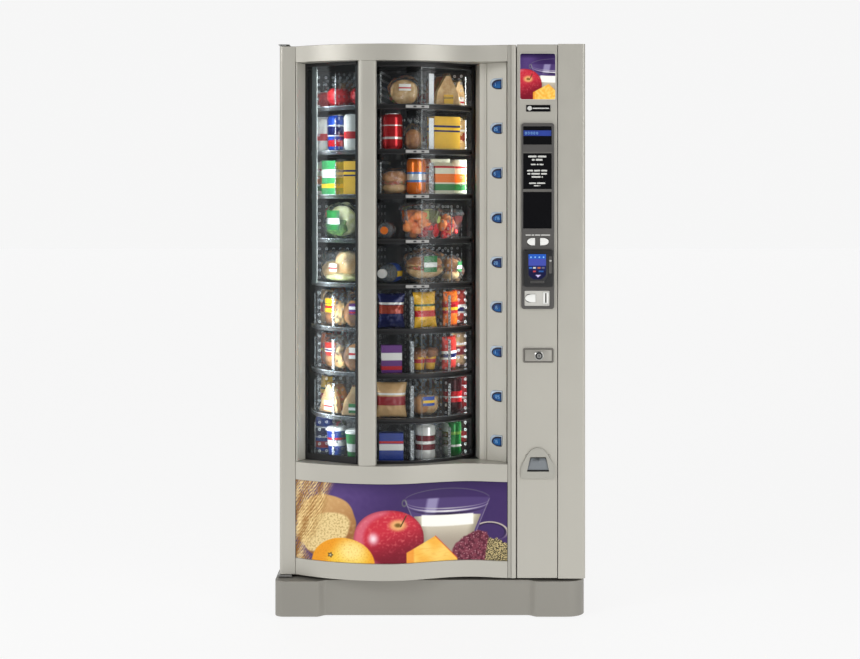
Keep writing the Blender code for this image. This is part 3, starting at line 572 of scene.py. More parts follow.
def make_door_frame():
    """Stiles, rails and step strips of the bowed door, with the seams between them."""
    corner, seam = 0.010, 0.0006
    stile_y = FRONT_Y - bow_rise(STILE_X[0])
    left = [(DOOR_X[0], DOOR_BACK)]
    left += arc((DOOR_X[0] + corner, stile_y + corner), corner, 180, 270, 10)
    left += [(STILE_X[0] - seam, stile_y), (STILE_X[0] - seam, stile_y + 0.006),
             (JAMB_X - 0.0005, JAMB_Y), (JAMB_X - 0.0005, DOOR_BACK)]
    stile = solid(left, *DOOR_Z)
    piece("left_stile", stile, LOOK["body_paint"], "main_door", 0.0012,
          replaces=("main_door_frame",), slot="body_paint")
    rails = (("bottom_rail", DOOR_Z[0], GRAPHIC_Z[0]), ("middle_rail", GRAPHIC_Z[1], WINDOW_Z[0]),
             ("top_rail", WINDOW_Z[1], DOOR_Z[1]))
    for name, low, high in rails:
        plan = bow_path(STILE_X[0], STILE_X[1] - seam)
        if name == "bottom_rail":
            plan += [(STILE_X[1] - seam, DOOR_BACK), (STILE_X[0], DOOR_BACK)]
        else:
            plan += [(STILE_X[1] - seam, DOOR_BACK), (0.160, DOOR_BACK)]
            plan += [polar(DRUM_CLEARANCE, phi) for phi in range(44, -46, -4)]
            plan += [(-0.330, DOOR_BACK), (STILE_X[0], DOOR_BACK)]
        piece(name, solid(plan, low, high), LOOK["body_paint"], "main_door", 0.0016, 3,
              slot="body_paint")
    edge = bow_path(STILE_X[1], STEP_X, steps=6)
    strip = solid(edge + [(STEP_X, DOOR_BACK), (STILE_X[1], DOOR_BACK)], *DOOR_Z)
    piece("right_step", strip, LOOK["step_shade"], "main_door", 0.0010, slot="body_paint")
    end = 0.006
    outer = [(0.2590, FRONT_Y - bow_rise(0.2590) - 0.0022)]
    outer += arc((DOOR_X[1] - end, FRONT_Y - FLAT_RISE - 0.0012 + end), end, 270, 360, 8)
    outer += [(DOOR_X[1], DOOR_BACK), (0.2590, DOOR_BACK)]
    piece("right_edge", solid(outer, *DOOR_Z), LOOK["body_paint"], "main_door", 0.0008,
          slot="body_paint")
    for name, low in (("sill", WINDOW_Z[0] - SILL), ("soffit", WINDOW_Z[1])):
        plan = [(0.166, DOOR_BACK - 0.005), (0.160, -0.244)]
        plan += [polar(DRUM_CLEARANCE, phi) for phi in (59, 55, 51, 47, 43)]
        piece(name, solid(plan, low + 0.0005, low + SILL - 0.0005), LOOK["interior"],
              "main_door", 0.001)


def make_pin_bushings():
    """Bushings round the hinge pins in the stile's ends."""
    for name, low, high in (("lower_bush", 0.1250, 0.1262), ("upper_bush", 1.8236, 1.8246)):
        profile = rectangle((PIN_BORE, 0.0105), (low, high))
        ring = turned(profile + profile[:1], MAIN_HINGE, 28)
        piece(name, ring, LOOK["black"], "main_door", slot="black_plastic")


def make_gaskets():
    """Black seals: beside the left jamb, under the window, over it and round the door's back."""
    window = (WINDOW_Z[0] + 0.001, WINDOW_Z[1] - 0.001)
    jamb = [(STILE_X[0] + 0.0015, -0.3565), (STILE_X[0] + 0.0045, -0.3590),
            (JAMB_X + 0.004, -0.3125), (JAMB_X + 0.001, -0.3100)]
    # The jamb's face takes the lighter body paint: painted light.
    piece("left_jamb_face", solid(jamb, *window), LOOK["lit_body_paint"], "main_door", 0.0008,
          slot="body_paint")
    seal = [(JAMB_X + 0.0025, -0.3115), (JAMB_X + 0.0100, -0.3175), (JAMB_X + 0.0125, -0.3145),
            (JAMB_X + 0.0045, -0.3075)]
    piece("left_pane_gasket", solid(seal, *window), LOOK["gasket"], "main_door", 0.0012)
    edge = [(-0.2335, -0.4120), (-0.2275, -0.4150), (-0.2280, -0.4080), (-0.2360, -0.4060)]
    piece("right_pane_gasket", solid(edge, *window), LOOK["gasket"], "main_door", 0.0010)
    pane = [(-0.4050, -0.3140), (-0.2345, -0.4140)]
    for name, low, high in (("pane_sill_gasket", 0.4885, 0.5110),
                            ("pane_head_gasket", 1.7610, 1.7715)):
        strip = solid(ribbon(pane, 0.004), low, high)
        piece(name, strip, LOOK["gasket"], "main_door", 0.0012)
    loop = [(-0.455, 0.150), (0.250, 0.150), (0.250, 1.800), (-0.455, 1.800)]
    path = [Vector((x, DOOR_BACK + 0.0035, z)) for x, z in loop]
    path = [a.lerp(b, i / 24) for a, b in zip(path, path[1:] + path[:1]) for i in range(24)]
    gasket = bmesh.new()
    rings = []
    centre, half_width, half_height = Vector((-0.1025, DOOR_BACK + 0.0035, 0.975)), 0.3525, 0.825
    section = [(0, -0.0032), (0.010, -0.0032), (0.012, 0.0), (0.010, 0.0036), (0.0, 0.0036)]
    for point in path:
        inward = Vector((centre.x - point.x, 0, centre.z - point.z))
        if abs(inward.x) / half_width > abs(inward.z) / half_height:
            inward = Vector((math.copysign(1, inward.x), 0, 0))
        else:
            inward = Vector((0, 0, math.copysign(1, inward.z)))
        rings.append([gasket.verts.new(point + inward * a + Vector((0, b, 0)))
                      for a, b in section])
    join(gasket, rings, closed=True)
    piece("door_back_gasket", gasket, LOOK["gasket"], "main_door", smooth=50)


def make_window():
    """Mullion, flat tinted pane and curved fixed pane."""
    window = (WINDOW_Z[0] + 0.0005, WINDOW_Z[1] - 0.0005)
    front = [(-0.228, -0.405), (-0.228, -0.4345)]
    front += [(-0.2275 + 0.0045 * i / 4, -0.4345 - 0.0080 * math.sin(math.pi * i / 8))
              for i in range(1, 5)]
    front += [(-0.2110, -0.4440), (-0.1990, -0.4445), (-0.1870, -0.4440)]
    front += [(-0.1750 + 0.0050 * i / 4, -0.4435 + 0.0065 * (1 - math.cos(math.pi * i / 8)))
              for i in range(5)]
    front += [(-0.170, -0.405)]
    piece("mullion_post", solid(front, *window), LOOK["body_paint"], "main_door", 0.0008,
          replaces=("mullion",), slot="body_paint")
    pane = ribbon([(-0.4065, -0.3105), (-0.2335, -0.4120)], 0.006)
    piece("flat_pane", solid(pane, *window), LOOK["glass_tint"], "main_door", 0.0006,
          replaces=("left_pane",), slot="tinted_glass")
    fixed = curved_sheet(sum(FIXED_PANE) / 2, FIXED_PANE_PHI, window)
    piece("curved_pane", fixed, LOOK["pane_clear"], "main_door", replaces=("fixed_curved_pane",),
          slot="clear_plastic", smooth=60)


def curved_sheet(radius, phis, heights, steps=40):
    """A single skin about the drum's axis."""
    shape = bmesh.new()
    turns = [phis[0] + (phis[1] - phis[0]) * i / steps for i in range(steps + 1)]
    weave(shape, [[shape.verts.new((*polar(radius, phi), z)) for phi in turns] for z in heights])
    return shape


def make_track():
    """Black guides between the tiers, with their tag strips, and the frame's two posts."""
    track = bmesh.new()
    inner, outer = TRACK
    low_end, high_end = WINDOW_Z[0] + 0.0005, WINDOW_Z[1] - 0.0005
    prism(track, band(TRACK, (TRACK_PHI[0], TRACK_OPENING_PHI[0]), 3), low_end, high_end)
    prism(track, band(TRACK, (TRACK_OPENING_PHI[1], TRACK_PHI[1]), 3), low_end, high_end)
    edges = [tier_opening(tier) for tier in range(1, TIERS + 1)]
    levels = [(edges[0][1], high_end)] + [(b[1], a[0]) for a, b in zip(edges, edges[1:])]
    levels.append((low_end, edges[-1][0]))
    for low, high in levels:
        lip = 0.0035
        mid_low, mid_high = low + lip, high - lip
        span = (TRACK_OPENING_PHI[0] - 0.1, TRACK_OPENING_PHI[1] + 0.1)
        for radii, z in (((inner, outer), (low, mid_low)), ((inner, outer), (mid_high, high)),
                         ((inner, VEND_DOOR[0] - 0.0008), (mid_low, mid_high))):
            if z[1] - z[0] > 0.0004:
                prism(track, band(radii, span, 40), *z)
    piece("guide_rails", track, LOOK["black"], "main_door", 0.0007,
          replaces=("vend_door_track",), slot="black_plastic")
    tags, marks = bmesh.new(), bmesh.new()
    for low, high in levels[1:6]:
        middle = (low + high) / 2
        prism(tags, band((outer - 0.0020, outer + 0.0006), (9.0, 23.5), 10), middle - 0.0048,
              middle + 0.0048)
        for phi in (13.6, 18.6):
            prism(marks, band((outer - 0.001, outer + 0.0010), (phi, phi + 1.9), 2),
                  middle - 0.0030, middle + 0.0022)
    piece("tag_strips", tags, LOOK["tag_grey"], "main_door", 0.0005)
    piece("tag_strip_marks", marks, LOOK["black"], "main_door")


def make_hand_door(tier):
    """Clear curved door with a rounded black grip and a thin stiffened edge."""
    low, high = tier_opening(tier)
    low, high = low + 0.001, high - 0.001
    body = f"vend_door_{tier}"
    sheet = curved_sheet(sum(VEND_DOOR) / 2, VEND_DOOR_PHI, (low, high))
    piece(f"hand_door_{tier}", sheet, LOOK["door_clear"], body, replaces=(body,),
          slot="clear_plastic", smooth=60)
    edge = bmesh.new()
    rim = 0.0022
    for phis, z in (((VEND_DOOR_PHI[0], VEND_DOOR_PHI[0] + 0.5), (low, high)),
                    ((VEND_DOOR_PHI[1] - 0.5, VEND_DOOR_PHI[1]), (low, high)),
                    (VEND_DOOR_PHI, (low, low + rim)), (VEND_DOOR_PHI, (high - rim, high))):
        prism(edge, band(VEND_DOOR, phis, 30 if phis == VEND_DOOR_PHI else 1), *z)
    piece(f"hand_door_edge_{tier}", edge, LOOK["tray_clear"], body, smooth=40)
    middle, half = (low + high) / 2, GRIP_HEIGHT / 2
    grip = bmesh.new()
    rings = []
    for i in range(25):
        share = i / 24
        z = middle - half + 2 * half * share
        swell = math.sin(math.pi * min(1, min(share, 1 - share) * 5) / 2) ** 0.6
        reach = VEND_DOOR[1] + 0.0030 + 0.0080 * swell
        section = [(VEND_DOOR[1] - 0.0005, GRIP_PHI[0]), (reach - 0.0025, GRIP_PHI[0]),
                   (reach, GRIP_PHI[0] + 0.6), (reach, GRIP_PHI[1] - 0.6),
                   (reach - 0.0025, GRIP_PHI[1]), (VEND_DOOR[1] - 0.0005, GRIP_PHI[1])]
        rings.append([grip.verts.new((*polar(r, phi), z)) for r, phi in section])
    join(grip, rings)
    seal(grip, rings)
    piece(f"hand_grip_{tier}", grip, LOOK["black"], body, 0.0006, smooth=45, slot="black_plastic")


# ---------------------------------------------------------------- painted pictures


def soften(value, width):
    """Coverage from a signed distance, with a soft edge."""
    share = max(0.0, min(1.0, 0.5 + value / width))
    return share * share * (3 - 2 * share)


def over(colour, paint, share):
    return tuple(c + (p - c) * share for c, p in zip(colour, paint))


def grain_at(a, b, scale, seed=0.0):
    return noise.noise(Vector((a * scale, b * scale, seed)))


def inside(a, b, corners):
    """Signed distance to a convex outline given anticlockwise."""
    nearest = 1e9
    for (x0, y0), (x1, y1) in zip(corners, corners[1:] + corners[:1]):
        length = math.hypot(x1 - x0, y1 - y0)
        nearest = min(nearest, ((x1 - x0) * (b - y0) - (y1 - y0) * (a - x0)) / length)
    return nearest


def paint_cloth_with_shadow(a, b, height):
    tone = 0.5 + 0.5 * math.sin(a * 5.2 + 0.6) * (b / height)
    colour = over((52, 32, 84), (100, 76, 138), 0.75 * tone + 0.25 * grain_at(a, b, 3.0))
    # Painted shadow of the frame above: darker over the top of the picture, nearly black in a thin
    # strip along its top edge.
    colour = over(colour, (30, 16, 58), soften(b - height * 0.93, 0.12) * 0.7)
    colour = over(colour, (12, 6, 26), soften(b - height + 0.012, 0.03) * 0.8)
    return over(colour, (54, 34, 92), 0.4 * abs(grain_at(a, b, 26.0, 4.0)))


def paint_bread(colour, a, b, centre, reach):
    u, v = (a - centre[0]) / reach[0], (b - centre[1]) / reach[1]
    lump = 0.05 * grain_at(a, b, 18.0, 2.0)
    cover = soften(1 - (abs(u) ** 2.3 + abs(v) ** 2.3) ** (1 / 2.3) + lump, 0.06)
    if not cover:
        return colour
    crust = over((206, 160, 104), (150, 98, 52), soften(-v * 0.7 + u * 0.3, 1.2))
    crust = over(crust, (232, 200, 150), 0.4 * max(0.0, grain_at(a, b, 60.0, 3.0)))
    crumb_u, crumb_v = (u + 0.10) / 0.90, (v + 0.16 - 0.28 * u) / 0.60
    crumb = soften(1 - math.hypot(crumb_u, crumb_v) + lump, 0.12)
    pores = soften(grain_at(a, b, 130.0, 5.0) - 0.16, 0.5)
    flesh = over((236, 210, 150), (186, 152, 92), pores * 0.7)
    return over(colour, over(crust, flesh, crumb), cover)


def paint_wheat(colour, a, b, reach, height):
    """Ears of wheat that lean to the right, from thin slanted strokes."""
    limit = reach * (0.42 + 2.6 * max(0.0, b - 0.06))
    spread = soften(limit - a + 0.03 * grain_at(a, b, 9.0, 6.0), 0.06)
    if not spread:
        return colour
    thin = max(0.0, b / height - 0.45)
    for layer in range(4):
        lean = 0.40 + 0.12 * layer
        across = a - b * lean + 0.003 * math.sin(b * 60 + layer)
        pitch = 0.0080 + 0.0020 * layer
        cell = math.floor(across / pitch)
        off = across / pitch - cell - 0.5
        gate = soften(0.62 - 0.55 * thin + 0.5 * math.sin(cell * 12.9 + layer * 4.1), 0.5)
        width = 0.12 + 0.16 * math.sin(b * 150 + cell * 2.2) ** 2
        stroke = soften(width - abs(off), 0.14) * spread * gate
        straw = over((150, 100, 42), (250, 224, 160), 0.5 + 0.5 * math.sin(cell * 7.7 + b * 40))
        colour = over(colour, straw, stroke * 0.85)
    return colour


def paint_orange(colour, a, b, centre, reach):
    u, v = (a - centre[0]) / reach[0], (b - centre[1]) / reach[1]
    far = math.hypot(u, v)
    cover = soften(1 - far, 0.04)
    if not cover:
        return colour
    skin = over((250, 204, 66), (240, 158, 30), soften(far - 0.62 - 0.25 * u, 0.55))
    glow = math.hypot(u - 0.28, v - 0.52)
    skin = over(skin, (255, 234, 150), soften(0.42 - glow, 0.6) * 0.9)
    skin = over(skin, (206, 120, 20), 0.5 * max(0.0, grain_at(a, b, 150.0, 7.0)))
    eye_u, eye_v = (u + 0.40) / 0.075, (v - 0.33) / 0.085
    star = 1 + 0.25 * math.cos(5 * math.atan2(eye_v, eye_u))
    skin = over(skin, (84, 74, 38), soften(star - math.hypot(eye_u, eye_v), 0.5))
    skin = over(skin, (206, 198, 160), soften(0.42 - math.hypot(eye_u, eye_v), 0.4))
    return over(colour, skin, cover)


def paint_apple(colour, a, b, centre, reach, dimple):
    u, v = (a - centre[0]) / reach[0], (b - centre[1]) / reach[1]
    far = (abs(u) ** 2.15 + abs(v) ** 2.15) ** (1 / 2.15)
    cover = soften(1 - far, 0.035)
    if not cover:
        return colour
    du, dv = u - dimple[0], v - dimple[1]
    turn, away = math.atan2(dv, du), math.hypot(du, dv * 1.3)
    streaks = noise.noise(Vector((math.cos(turn) * 7, math.sin(turn) * 7, away * 9.0)))
    streaks += grain_at(a, b, 90.0, 5.0)
    skin = over((204, 44, 62), (120, 14, 36), soften(-v * 0.9 - 0.15 + 0.3 * u, 1.1))
    skin = over(skin, (236, 128, 120), 0.55 * max(0.0, streaks) * soften(1.2 - away, 1.2))
    skin = over(skin, (246, 196, 120), soften(0.24 - away, 0.22) * 0.85)
    skin = over(skin, (110, 84, 30), soften(0.085 - away, 0.10) * 0.9)
    skin = over(skin, (228, 150, 170), 0.5 * soften(far - 0.86 - 0.2 * u, 0.2) * soften(-u, 0.4))
    shine = math.hypot((u + 0.44) / 0.9, (v - 0.05) / 1.2)
    skin = over(skin, (255, 226, 232), soften(0.13 - shine, 0.26))
    stem = abs(du - 0.10 - dv * 0.45) - 0.018
    skin = over(skin, (70, 60, 26), soften(-stem, 0.02) * soften(dv + 0.06, 0.04)
                * soften(0.32 - dv, 0.04))
    return over(colour, over(skin, (80, 6, 26), soften(far - 0.95, 0.10) * 0.25), cover)


def paint_jug(colour, a, b, centre, reach, milk):
    """Glass measuring jug seen a little from above: rim, bowl, milk and bright glass lines."""
    u, v = (a - centre[0]) / reach, (b - centre[1]) / reach
    depth = -v
    half = 0.99 - 0.30 * min(1.0, max(0.0, depth) / 0.75) - 0.10 * max(0.0, depth - 0.75)
    bowl = soften(half - abs(u), 0.03) * soften(depth + 0.02, 0.05)
    colour = over(colour, (150, 138, 190), bowl * 0.20)
    sheen = soften(0.13 - abs(u + 0.34 - 0.2 * v), 0.10) * soften(depth + 0.2, 0.1)
    colour = over(colour, (196, 192, 224), sheen * bowl * 0.6 * soften(0.36 - depth, 0.1))
    cream = over((226, 218, 196), (168, 156, 140), soften(depth - 0.75, 0.7))
    cream = over(cream, (150, 140, 120), soften(abs(u) - half + 0.16, 0.2) * 0.8)
    body = soften(half - 0.05 - abs(u), 0.03) * soften(depth - milk - 0.18, 0.03)
    colour = over(colour, cream, body)
    curve = 0.09 * (1 - u * u)
    band_depth = depth - milk - 0.10 - curve
    top = soften(0.61 - abs(u), 0.05) * soften(band_depth, 0.03) * soften(0.26 - band_depth, 0.04)
    colour = over(colour, (255, 254, 246), top)
    for at, width, tint in ((0.0, 0.011, (196, 194, 196)), (0.065, 0.018, (250, 250, 244)),
                            (0.125, 0.020, (40, 28, 56))):
        low = 0.235 * math.sqrt(max(0.0, 1 - (u / (1.0 - 0.3 * at)) ** 2))
        line = abs(v + low + at) - width * (1.15 - u * u)
        reach_in = soften(0.985 - at * 0.4 - abs(u), 0.03)
        colour = over(colour, tint, soften(-line, 0.03) * reach_in * (0.95 - 0.55 * abs(u)))
    back = abs(v - 0.235 * math.sqrt(max(0.0, 1 - u * u))) - 0.006
    colour = over(colour, (126, 132, 128), soften(-back, 0.03) * soften(0.985 - abs(u), 0.02) * 0.7)
    spout = math.hypot((u + 1.01) / 0.07, (v + 0.06) / 0.10)
    colour = over(colour, (120, 128, 112), soften(0.20 - abs(spout - 0.7), 0.3) * 0.6)
    side = abs(abs(u) - half) - 0.008
    colour = over(colour, (208, 210, 198), soften(-side, 0.03) * soften(depth, 0.05) * 0.5
                  * soften(1.15 - depth, 0.05))
    loop = math.hypot((u - 1.02) / 0.42, (v + 0.78) / 0.24)
    ring = soften(0.055 - abs(loop - 0.92), 0.07) * soften(u - 0.76, 0.04)
    colour = over(colour, (222, 214, 186), ring * 0.85 * soften(v + 0.86, 0.3))
    shade_in = soften(0.05 - abs(loop - 0.80), 0.08) * soften(u - 0.76, 0.04)
    return over(colour, (36, 24, 56), shade_in * 0.8 * soften(v + 0.86, 0.3))


def paint_cheese(colour, a, b, corners, ridge, side_a):
    cover = soften(inside(a, b, corners), 0.005)
    if not cover:
        return colour
    face = over((252, 186, 70), (255, 214, 110), soften(grain_at(a, b, 14.0, 9.0), 0.8))
    face = over(face, (244, 150, 46), soften(side_a - a, 0.01) * 0.8)
    face = over(face, (226, 132, 34), 0.3 * max(0.0, grain_at(a * 0.6, b * 2.0, 60.0, 8.0)))
    rind = -inside(a, b, list(ridge)) - 0.0035
    return over(colour, over(face, (216, 62, 26), soften(-rind, 0.006)), cover)


def paint_beet(colour, a, b, corners):
    cover = soften(inside(a, b, corners) + 0.004 * grain_at(a, b, 60.0), 0.01)
    if not cover:
        return colour
    flesh = over((128, 58, 74), (92, 32, 50), soften(grain_at(a, b, 60.0, 3.0), 0.5))
    specks = soften(grain_at(a, b, 150.0, 6.0) - 0.36, 0.3)
    return over(colour, over(flesh, (206, 150, 156), specks * 0.7), cover)


def paint_seeds(colour, a, b, corners):
    cover = soften(inside(a, b, corners) + 0.012 * grain_at(a, b, 70.0), 0.01)
    if not cover:
        return colour
    grain = soften(grain_at(a, b, 230.0, 1.0), 0.25)
    return over(colour, over((30, 26, 20), (212, 192, 136), grain), cover)


def wide_picture(a, b):
    """Still life on the lower panel; a runs across and b up, both in panel widths."""
    colour = paint_cloth_with_shadow(a, b, 0.39)
    colour = paint_bread(colour, a, b, (0.150, 0.165), (0.140, 0.145))
    colour = paint_wheat(colour, a, b, 0.140, 0.39)
    colour = paint_jug(colour, a, b, (0.719, 0.292), 0.200, 0.20)
    colour = paint_apple(colour, a, b, (0.444, 0.108), (0.164, 0.140), (0.26, 0.50))
    colour = paint_orange(colour, a, b, (0.2295, -0.009), (0.150, 0.124))
    colour = paint_seeds(colour, a, b, [(0.870, -0.05), (1.02, -0.05), (1.02, 0.085),
                                        (0.965, 0.098), (0.905, 0.128)])
    colour = paint_beet(colour, a, b, [(0.735, 0.030), (0.760, -0.02), (0.890, -0.02),
                                       (0.912, 0.110), (0.905, 0.132), (0.862, 0.142),
                                       (0.795, 0.108), (0.755, 0.075)])
    return paint_cheese(colour, a, b, [(0.527, -0.02), (0.768, -0.02), (0.765, 0.012),
                                       (0.663, 0.120), (0.527, 0.048)],
                        ((0.663, 0.120), (0.768, 0.010)), 0.562)


def tall_picture(a, b):
    """Still life on the small panel of the money column."""
    colour = paint_cloth_with_shadow(a, b, 1.295)
    colour = paint_jug(colour, a, b, (1.02, 0.985), 0.72, 0.26)
    colour = paint_apple(colour, a, b, (0.10, 0.385), (0.52, 0.485), (0.24, 0.40))
    return paint_cheese(colour, a, b, [(0.364, -0.02), (1.02, -0.02), (1.02, 0.24),
                                       (0.815, 0.440), (0.640, 0.350), (0.364, 0.200)],
                        ((0.815, 0.440), (1.02, 0.240)), 0.42)


def label_picture(a, b):
    """Plain blue note label: a lit field with small dots, two rows of blocks and an arrow."""
    colour = over((24, 34, 96), (14, 16, 60), soften(0.55 - b, 0.3))
    if b > 0.78:
        colour = (66, 78, 170) if b < 1.18 else (38, 92, 190)
    for i in range(4):
        dot = soften(0.045 - math.hypot(a - 0.14 - i * 0.24, b - 1.27), 0.03)
        colour = over(colour, (150, 200, 246), dot)
    for at, level, half, tint in ((0.12, 0.66, 0.085, (60, 120, 200)),
                                  (0.34, 0.66, 0.085, (214, 214, 206)),
                                  (0.60, 0.66, 0.085, (196, 110, 60)),
                                  (0.84, 0.66, 0.085, (110, 104, 120)),
                                  (0.34, 0.46, 0.085, (200, 70, 70)),
                                  (0.72, 0.46, 0.140, (40, 90, 160))):
        cover = soften(half - abs(a - at), 0.02) * soften(0.045 - abs(b - level), 0.02)
        colour = over(colour, tint, cover)
    arrow = soften(0.22 - b + 0.04, 0.02) * soften(b - 0.10 - 1.0 * abs(a - 0.55), 0.02)
    return over(colour, (206, 196, 240), arrow)


def painted_sheet(name, columns, rows, place, width, height, picture, look, body, **facts):
    """A fine flat or curved sheet whose points carry the colours of a picture."""
    mesh = bpy.data.meshes.new(name)
    points, colours = [], []
    for j in range(rows + 1):
        for i in range(columns + 1):
            a, b = i / columns, j / rows
            points.append(place(a, b))
            tone = picture(a, b * height / width)
            colours += [*srgb(*(max(0.0, min(255.0, c)) for c in tone)), 1.0]
    step = columns + 1
    faces = [(j * step + i, j * step + i + 1, (j + 1) * step + i + 1, (j + 1) * step + i)
             for j in range(rows) for i in range(columns)]
    mesh.from_pydata(points, [], faces)
    layer = mesh.color_attributes.new("print", "FLOAT_COLOR", "POINT")
    layer.data.foreach_set("color", colours)
    return placed(name, mesh, look, body, **facts)


def make_graphic():
    """Bowed picture panel with its backing."""
    x0, x1 = STILE_X[0] + 0.0005, STILE_X[1] - 0.0010
    z0, z1 = GRAPHIC_Z[0] + 0.0005, GRAPHIC_Z[1] - 0.0005

    def place(a, b):
        x = x0 + (x1 - x0) * a
        return (x, FRONT_Y - bow_rise(x) + 0.0040, z0 + (z1 - z0) * b)

    painted_sheet("graphic_picture", 460, 172, place, x1 - x0, z1 - z0, wide_picture,
                  LOOK["picture"], "main_door", replaces=("graphic_panel",), slot="graphic_print")
    back = solid(ribbon(bow_path(x0 + 0.001, x1, 0.0048), 0.004), z0, z1)
    piece("graphic_backing", back, LOOK["black"], "main_door", 0.0008)


# ---------------------------------------------------------------- price displays


NUMERALS = {
    "0": ("top", "bottom", "upper_left", "lower_left", "upper_right", "lower_right"),
    "1": ("upper_right", "lower_right"),
    "2": ("top", "middle", "bottom", "upper_right", "lower_left"),
    "5": ("top", "middle", "bottom", "upper_left", "lower_right"),
    "7": ("top", "upper_right", "lower_right"),
}


def add_numeral(shape, numeral, a, z, width, height, depths, place):
    """Adds the lit bars of one seven-bar numeral, from its lower left corner."""
    thick, middle, top = height * 0.13, z + height / 2, z + height
    left, right, whole = (a, a + thick), (a + width - thick, a + width), (a, a + width)
    spots = {"top": (whole, (top - thick, top)), "bottom": (whole, (z, z + thick)),
             "middle": (whole, (middle - thick / 2, middle + thick / 2)),
             "upper_left": (left, (middle, top)), "lower_left": (left, (z, middle)),
             "upper_right": (right, (middle, top)), "lower_right": (right, (z, middle))}
    for name in NUMERALS[numeral]:
        prism(shape, rectangle(*spots[name]), *depths, place)


def make_price_panel():
    """The price panel's bead, and nine lens displays with dark edges and numerals."""
    trim = [(PRICE_PATH[1][0] - 0.0012, PRICE_PATH[1][1] - 0.0012),
            (PRICE_PATH[1][0] - 0.0012, PRICE_PATH[1][1] - 0.0042),
            (PRICE_PATH[1][0] - 0.0052, PRICE_PATH[1][1] - 0.0030),
            (PRICE_PATH[1][0] - 0.0052, PRICE_PATH[1][1] - 0.0006)]
    # The bead takes the lighter body paint: painted light.
    piece("price_panel_bead", solid(trim, WINDOW_Z[0] + 0.001, WINDOW_Z[1] - 0.001),
          LOOK["lit_body_paint"], "main_door", 0.0006, slot="body_paint")
    half = LENS_WIDTH / 2
    numerals = ("1", "25", "5", "175", "20", "15", "1", "125", "75")
    for tier, price in enumerate(numerals, 1):
        middle = FIRST_LENS_Z - TIER_PITCH * (tier - 1) - 0.0042
        outline = bullet(half - 0.0024, -half + 0.0070, middle, LENS_HEIGHT)
        piece(f"price_lens_edge_{tier}", solid(outline, 0.0008, 0.0030, on_price_panel),
              LOOK["lens_edge"], "main_door", 0.0008, 3)
        outline = bullet(half - 0.0056, -half + 0.0125, middle - 0.0010, LENS_HEIGHT - 0.0095)
        piece(f"price_lens_{tier}", solid(outline, 0.0028, 0.0034, on_price_panel),
              LOOK["lens_blue"], "main_door", 0.0009, 3, slot="display_blue")
        lit = bmesh.new()
        for i, numeral in enumerate(price):
            add_numeral(lit, numeral, -0.006 + i * 0.0075, middle - 0.0052, 0.0050, 0.0100,
                        (0.0035, 0.0037), on_price_panel)
        piece(f"price_numerals_{tier}", lit, LOOK["digit"], "main_door")


# ---------------------------------------------------------------- money column


def bullet(flat_a, tip_a, middle, height, steps=24):
    """A blunt arrowhead: straight at flat_a, with an oval nose at tip_a."""
    reach, half = tip_a - flat_a, height / 2
    side = 1 if reach > 0 else -1
    nose = []
    for i in range(steps + 1):
        turn = math.pi * (i / steps - 0.5)
        nose.append((flat_a + reach * (0.30 + 0.70 * math.cos(turn)),
                     middle + side * half * math.sin(turn)))
    return nose + [(flat_a, middle + side * half), (flat_a, middle - side * half)]


def make_tall_picture():
    """Picture panel at the top of the column and the blank plate under it."""
    x, z, y = (0.285, 0.401), (1.648, 1.798), COLUMN_FACE
    middle = (sum(x) / 2, sum(z) / 2)
    corner, inset = 0.006, 0.0022
    rim = frustum(rounded(x, z, corner, 8), middle,
                  ((y, 1.0), (y - 0.0022, 1.0), (y - 0.0029, 0.994)))
    piece("column_picture_rim", rim, LOOK["pale_grey"], "money_door", replaces=("picture_panel",))
    wide, tall = x[1] - x[0] - 2 * inset, z[1] - z[0] - 2 * inset

    def place(a, b):
        """Spreads the sheet's points, drawing in those past the round corners."""
        reach = [abs(share - 0.5) * side - (side / 2 - corner)
                 for share, side in ((a, wide), (b, tall))]
        pull = max(reach) / math.hypot(*reach) if min(reach) > 0 else 1.0
        px, pz = (math.copysign(min(abs(share - 0.5) * side,
                                    side / 2 - corner + max(0, past) * pull), share - 0.5)
                  for share, side, past in zip((a, b), (wide, tall), reach))
        return (middle[0] + px, y - 0.0032, middle[1] + pz)

    painted_sheet("column_picture", 116, 148, place, wide, tall, tall_picture, LOOK["picture"],
                  "money_door", slot="graphic_print")
    plate = frustum(rounded((0.3063, 0.3837), (1.6110, 1.6322), 0.0012, 3), (0.345, 1.6216),
                    ((FRONT_Y, 1.0), (FRONT_Y - 0.0012, 1.0), (FRONT_Y - 0.0016, 0.985)))
    piece("blank_plate", plate, LOOK["screen"], "money_door", slot="black_plastic")
    stripe = bmesh.new()
    disc = circle((0.3175, 1.6216), 0.0072, 28)
    prism(stripe, disc, FRONT_Y - 0.0020, FRONT_Y - 0.0015, upright)
    bar = rounded((0.3270, 0.3790), (1.6198, 1.6234), 0.0012, 3)
    prism(stripe, bar, FRONT_Y - 0.0019, FRONT_Y - 0.0015, upright)
    piece("blank_plate_mark", stripe, LOOK["mark"], "money_door")


def bars(rows, depth):
    """Plain bars in place of printed words: (middle a, width, z, height, pieces)."""
    shape = bmesh.new()
    for middle, width, z, height, pieces in rows:
        gap = height * 0.7
        unit = (width - gap * (len(pieces) - 1)) / sum(pieces)
        at = middle - width / 2
        for share in pieces:
            outline = rounded((at, at + unit * share), (z - height / 2, z + height / 2),
                              height * 0.3, 2)
            prism(shape, outline, depth - 0.00015, depth, upright)
            at += unit * share + gap
    return shape


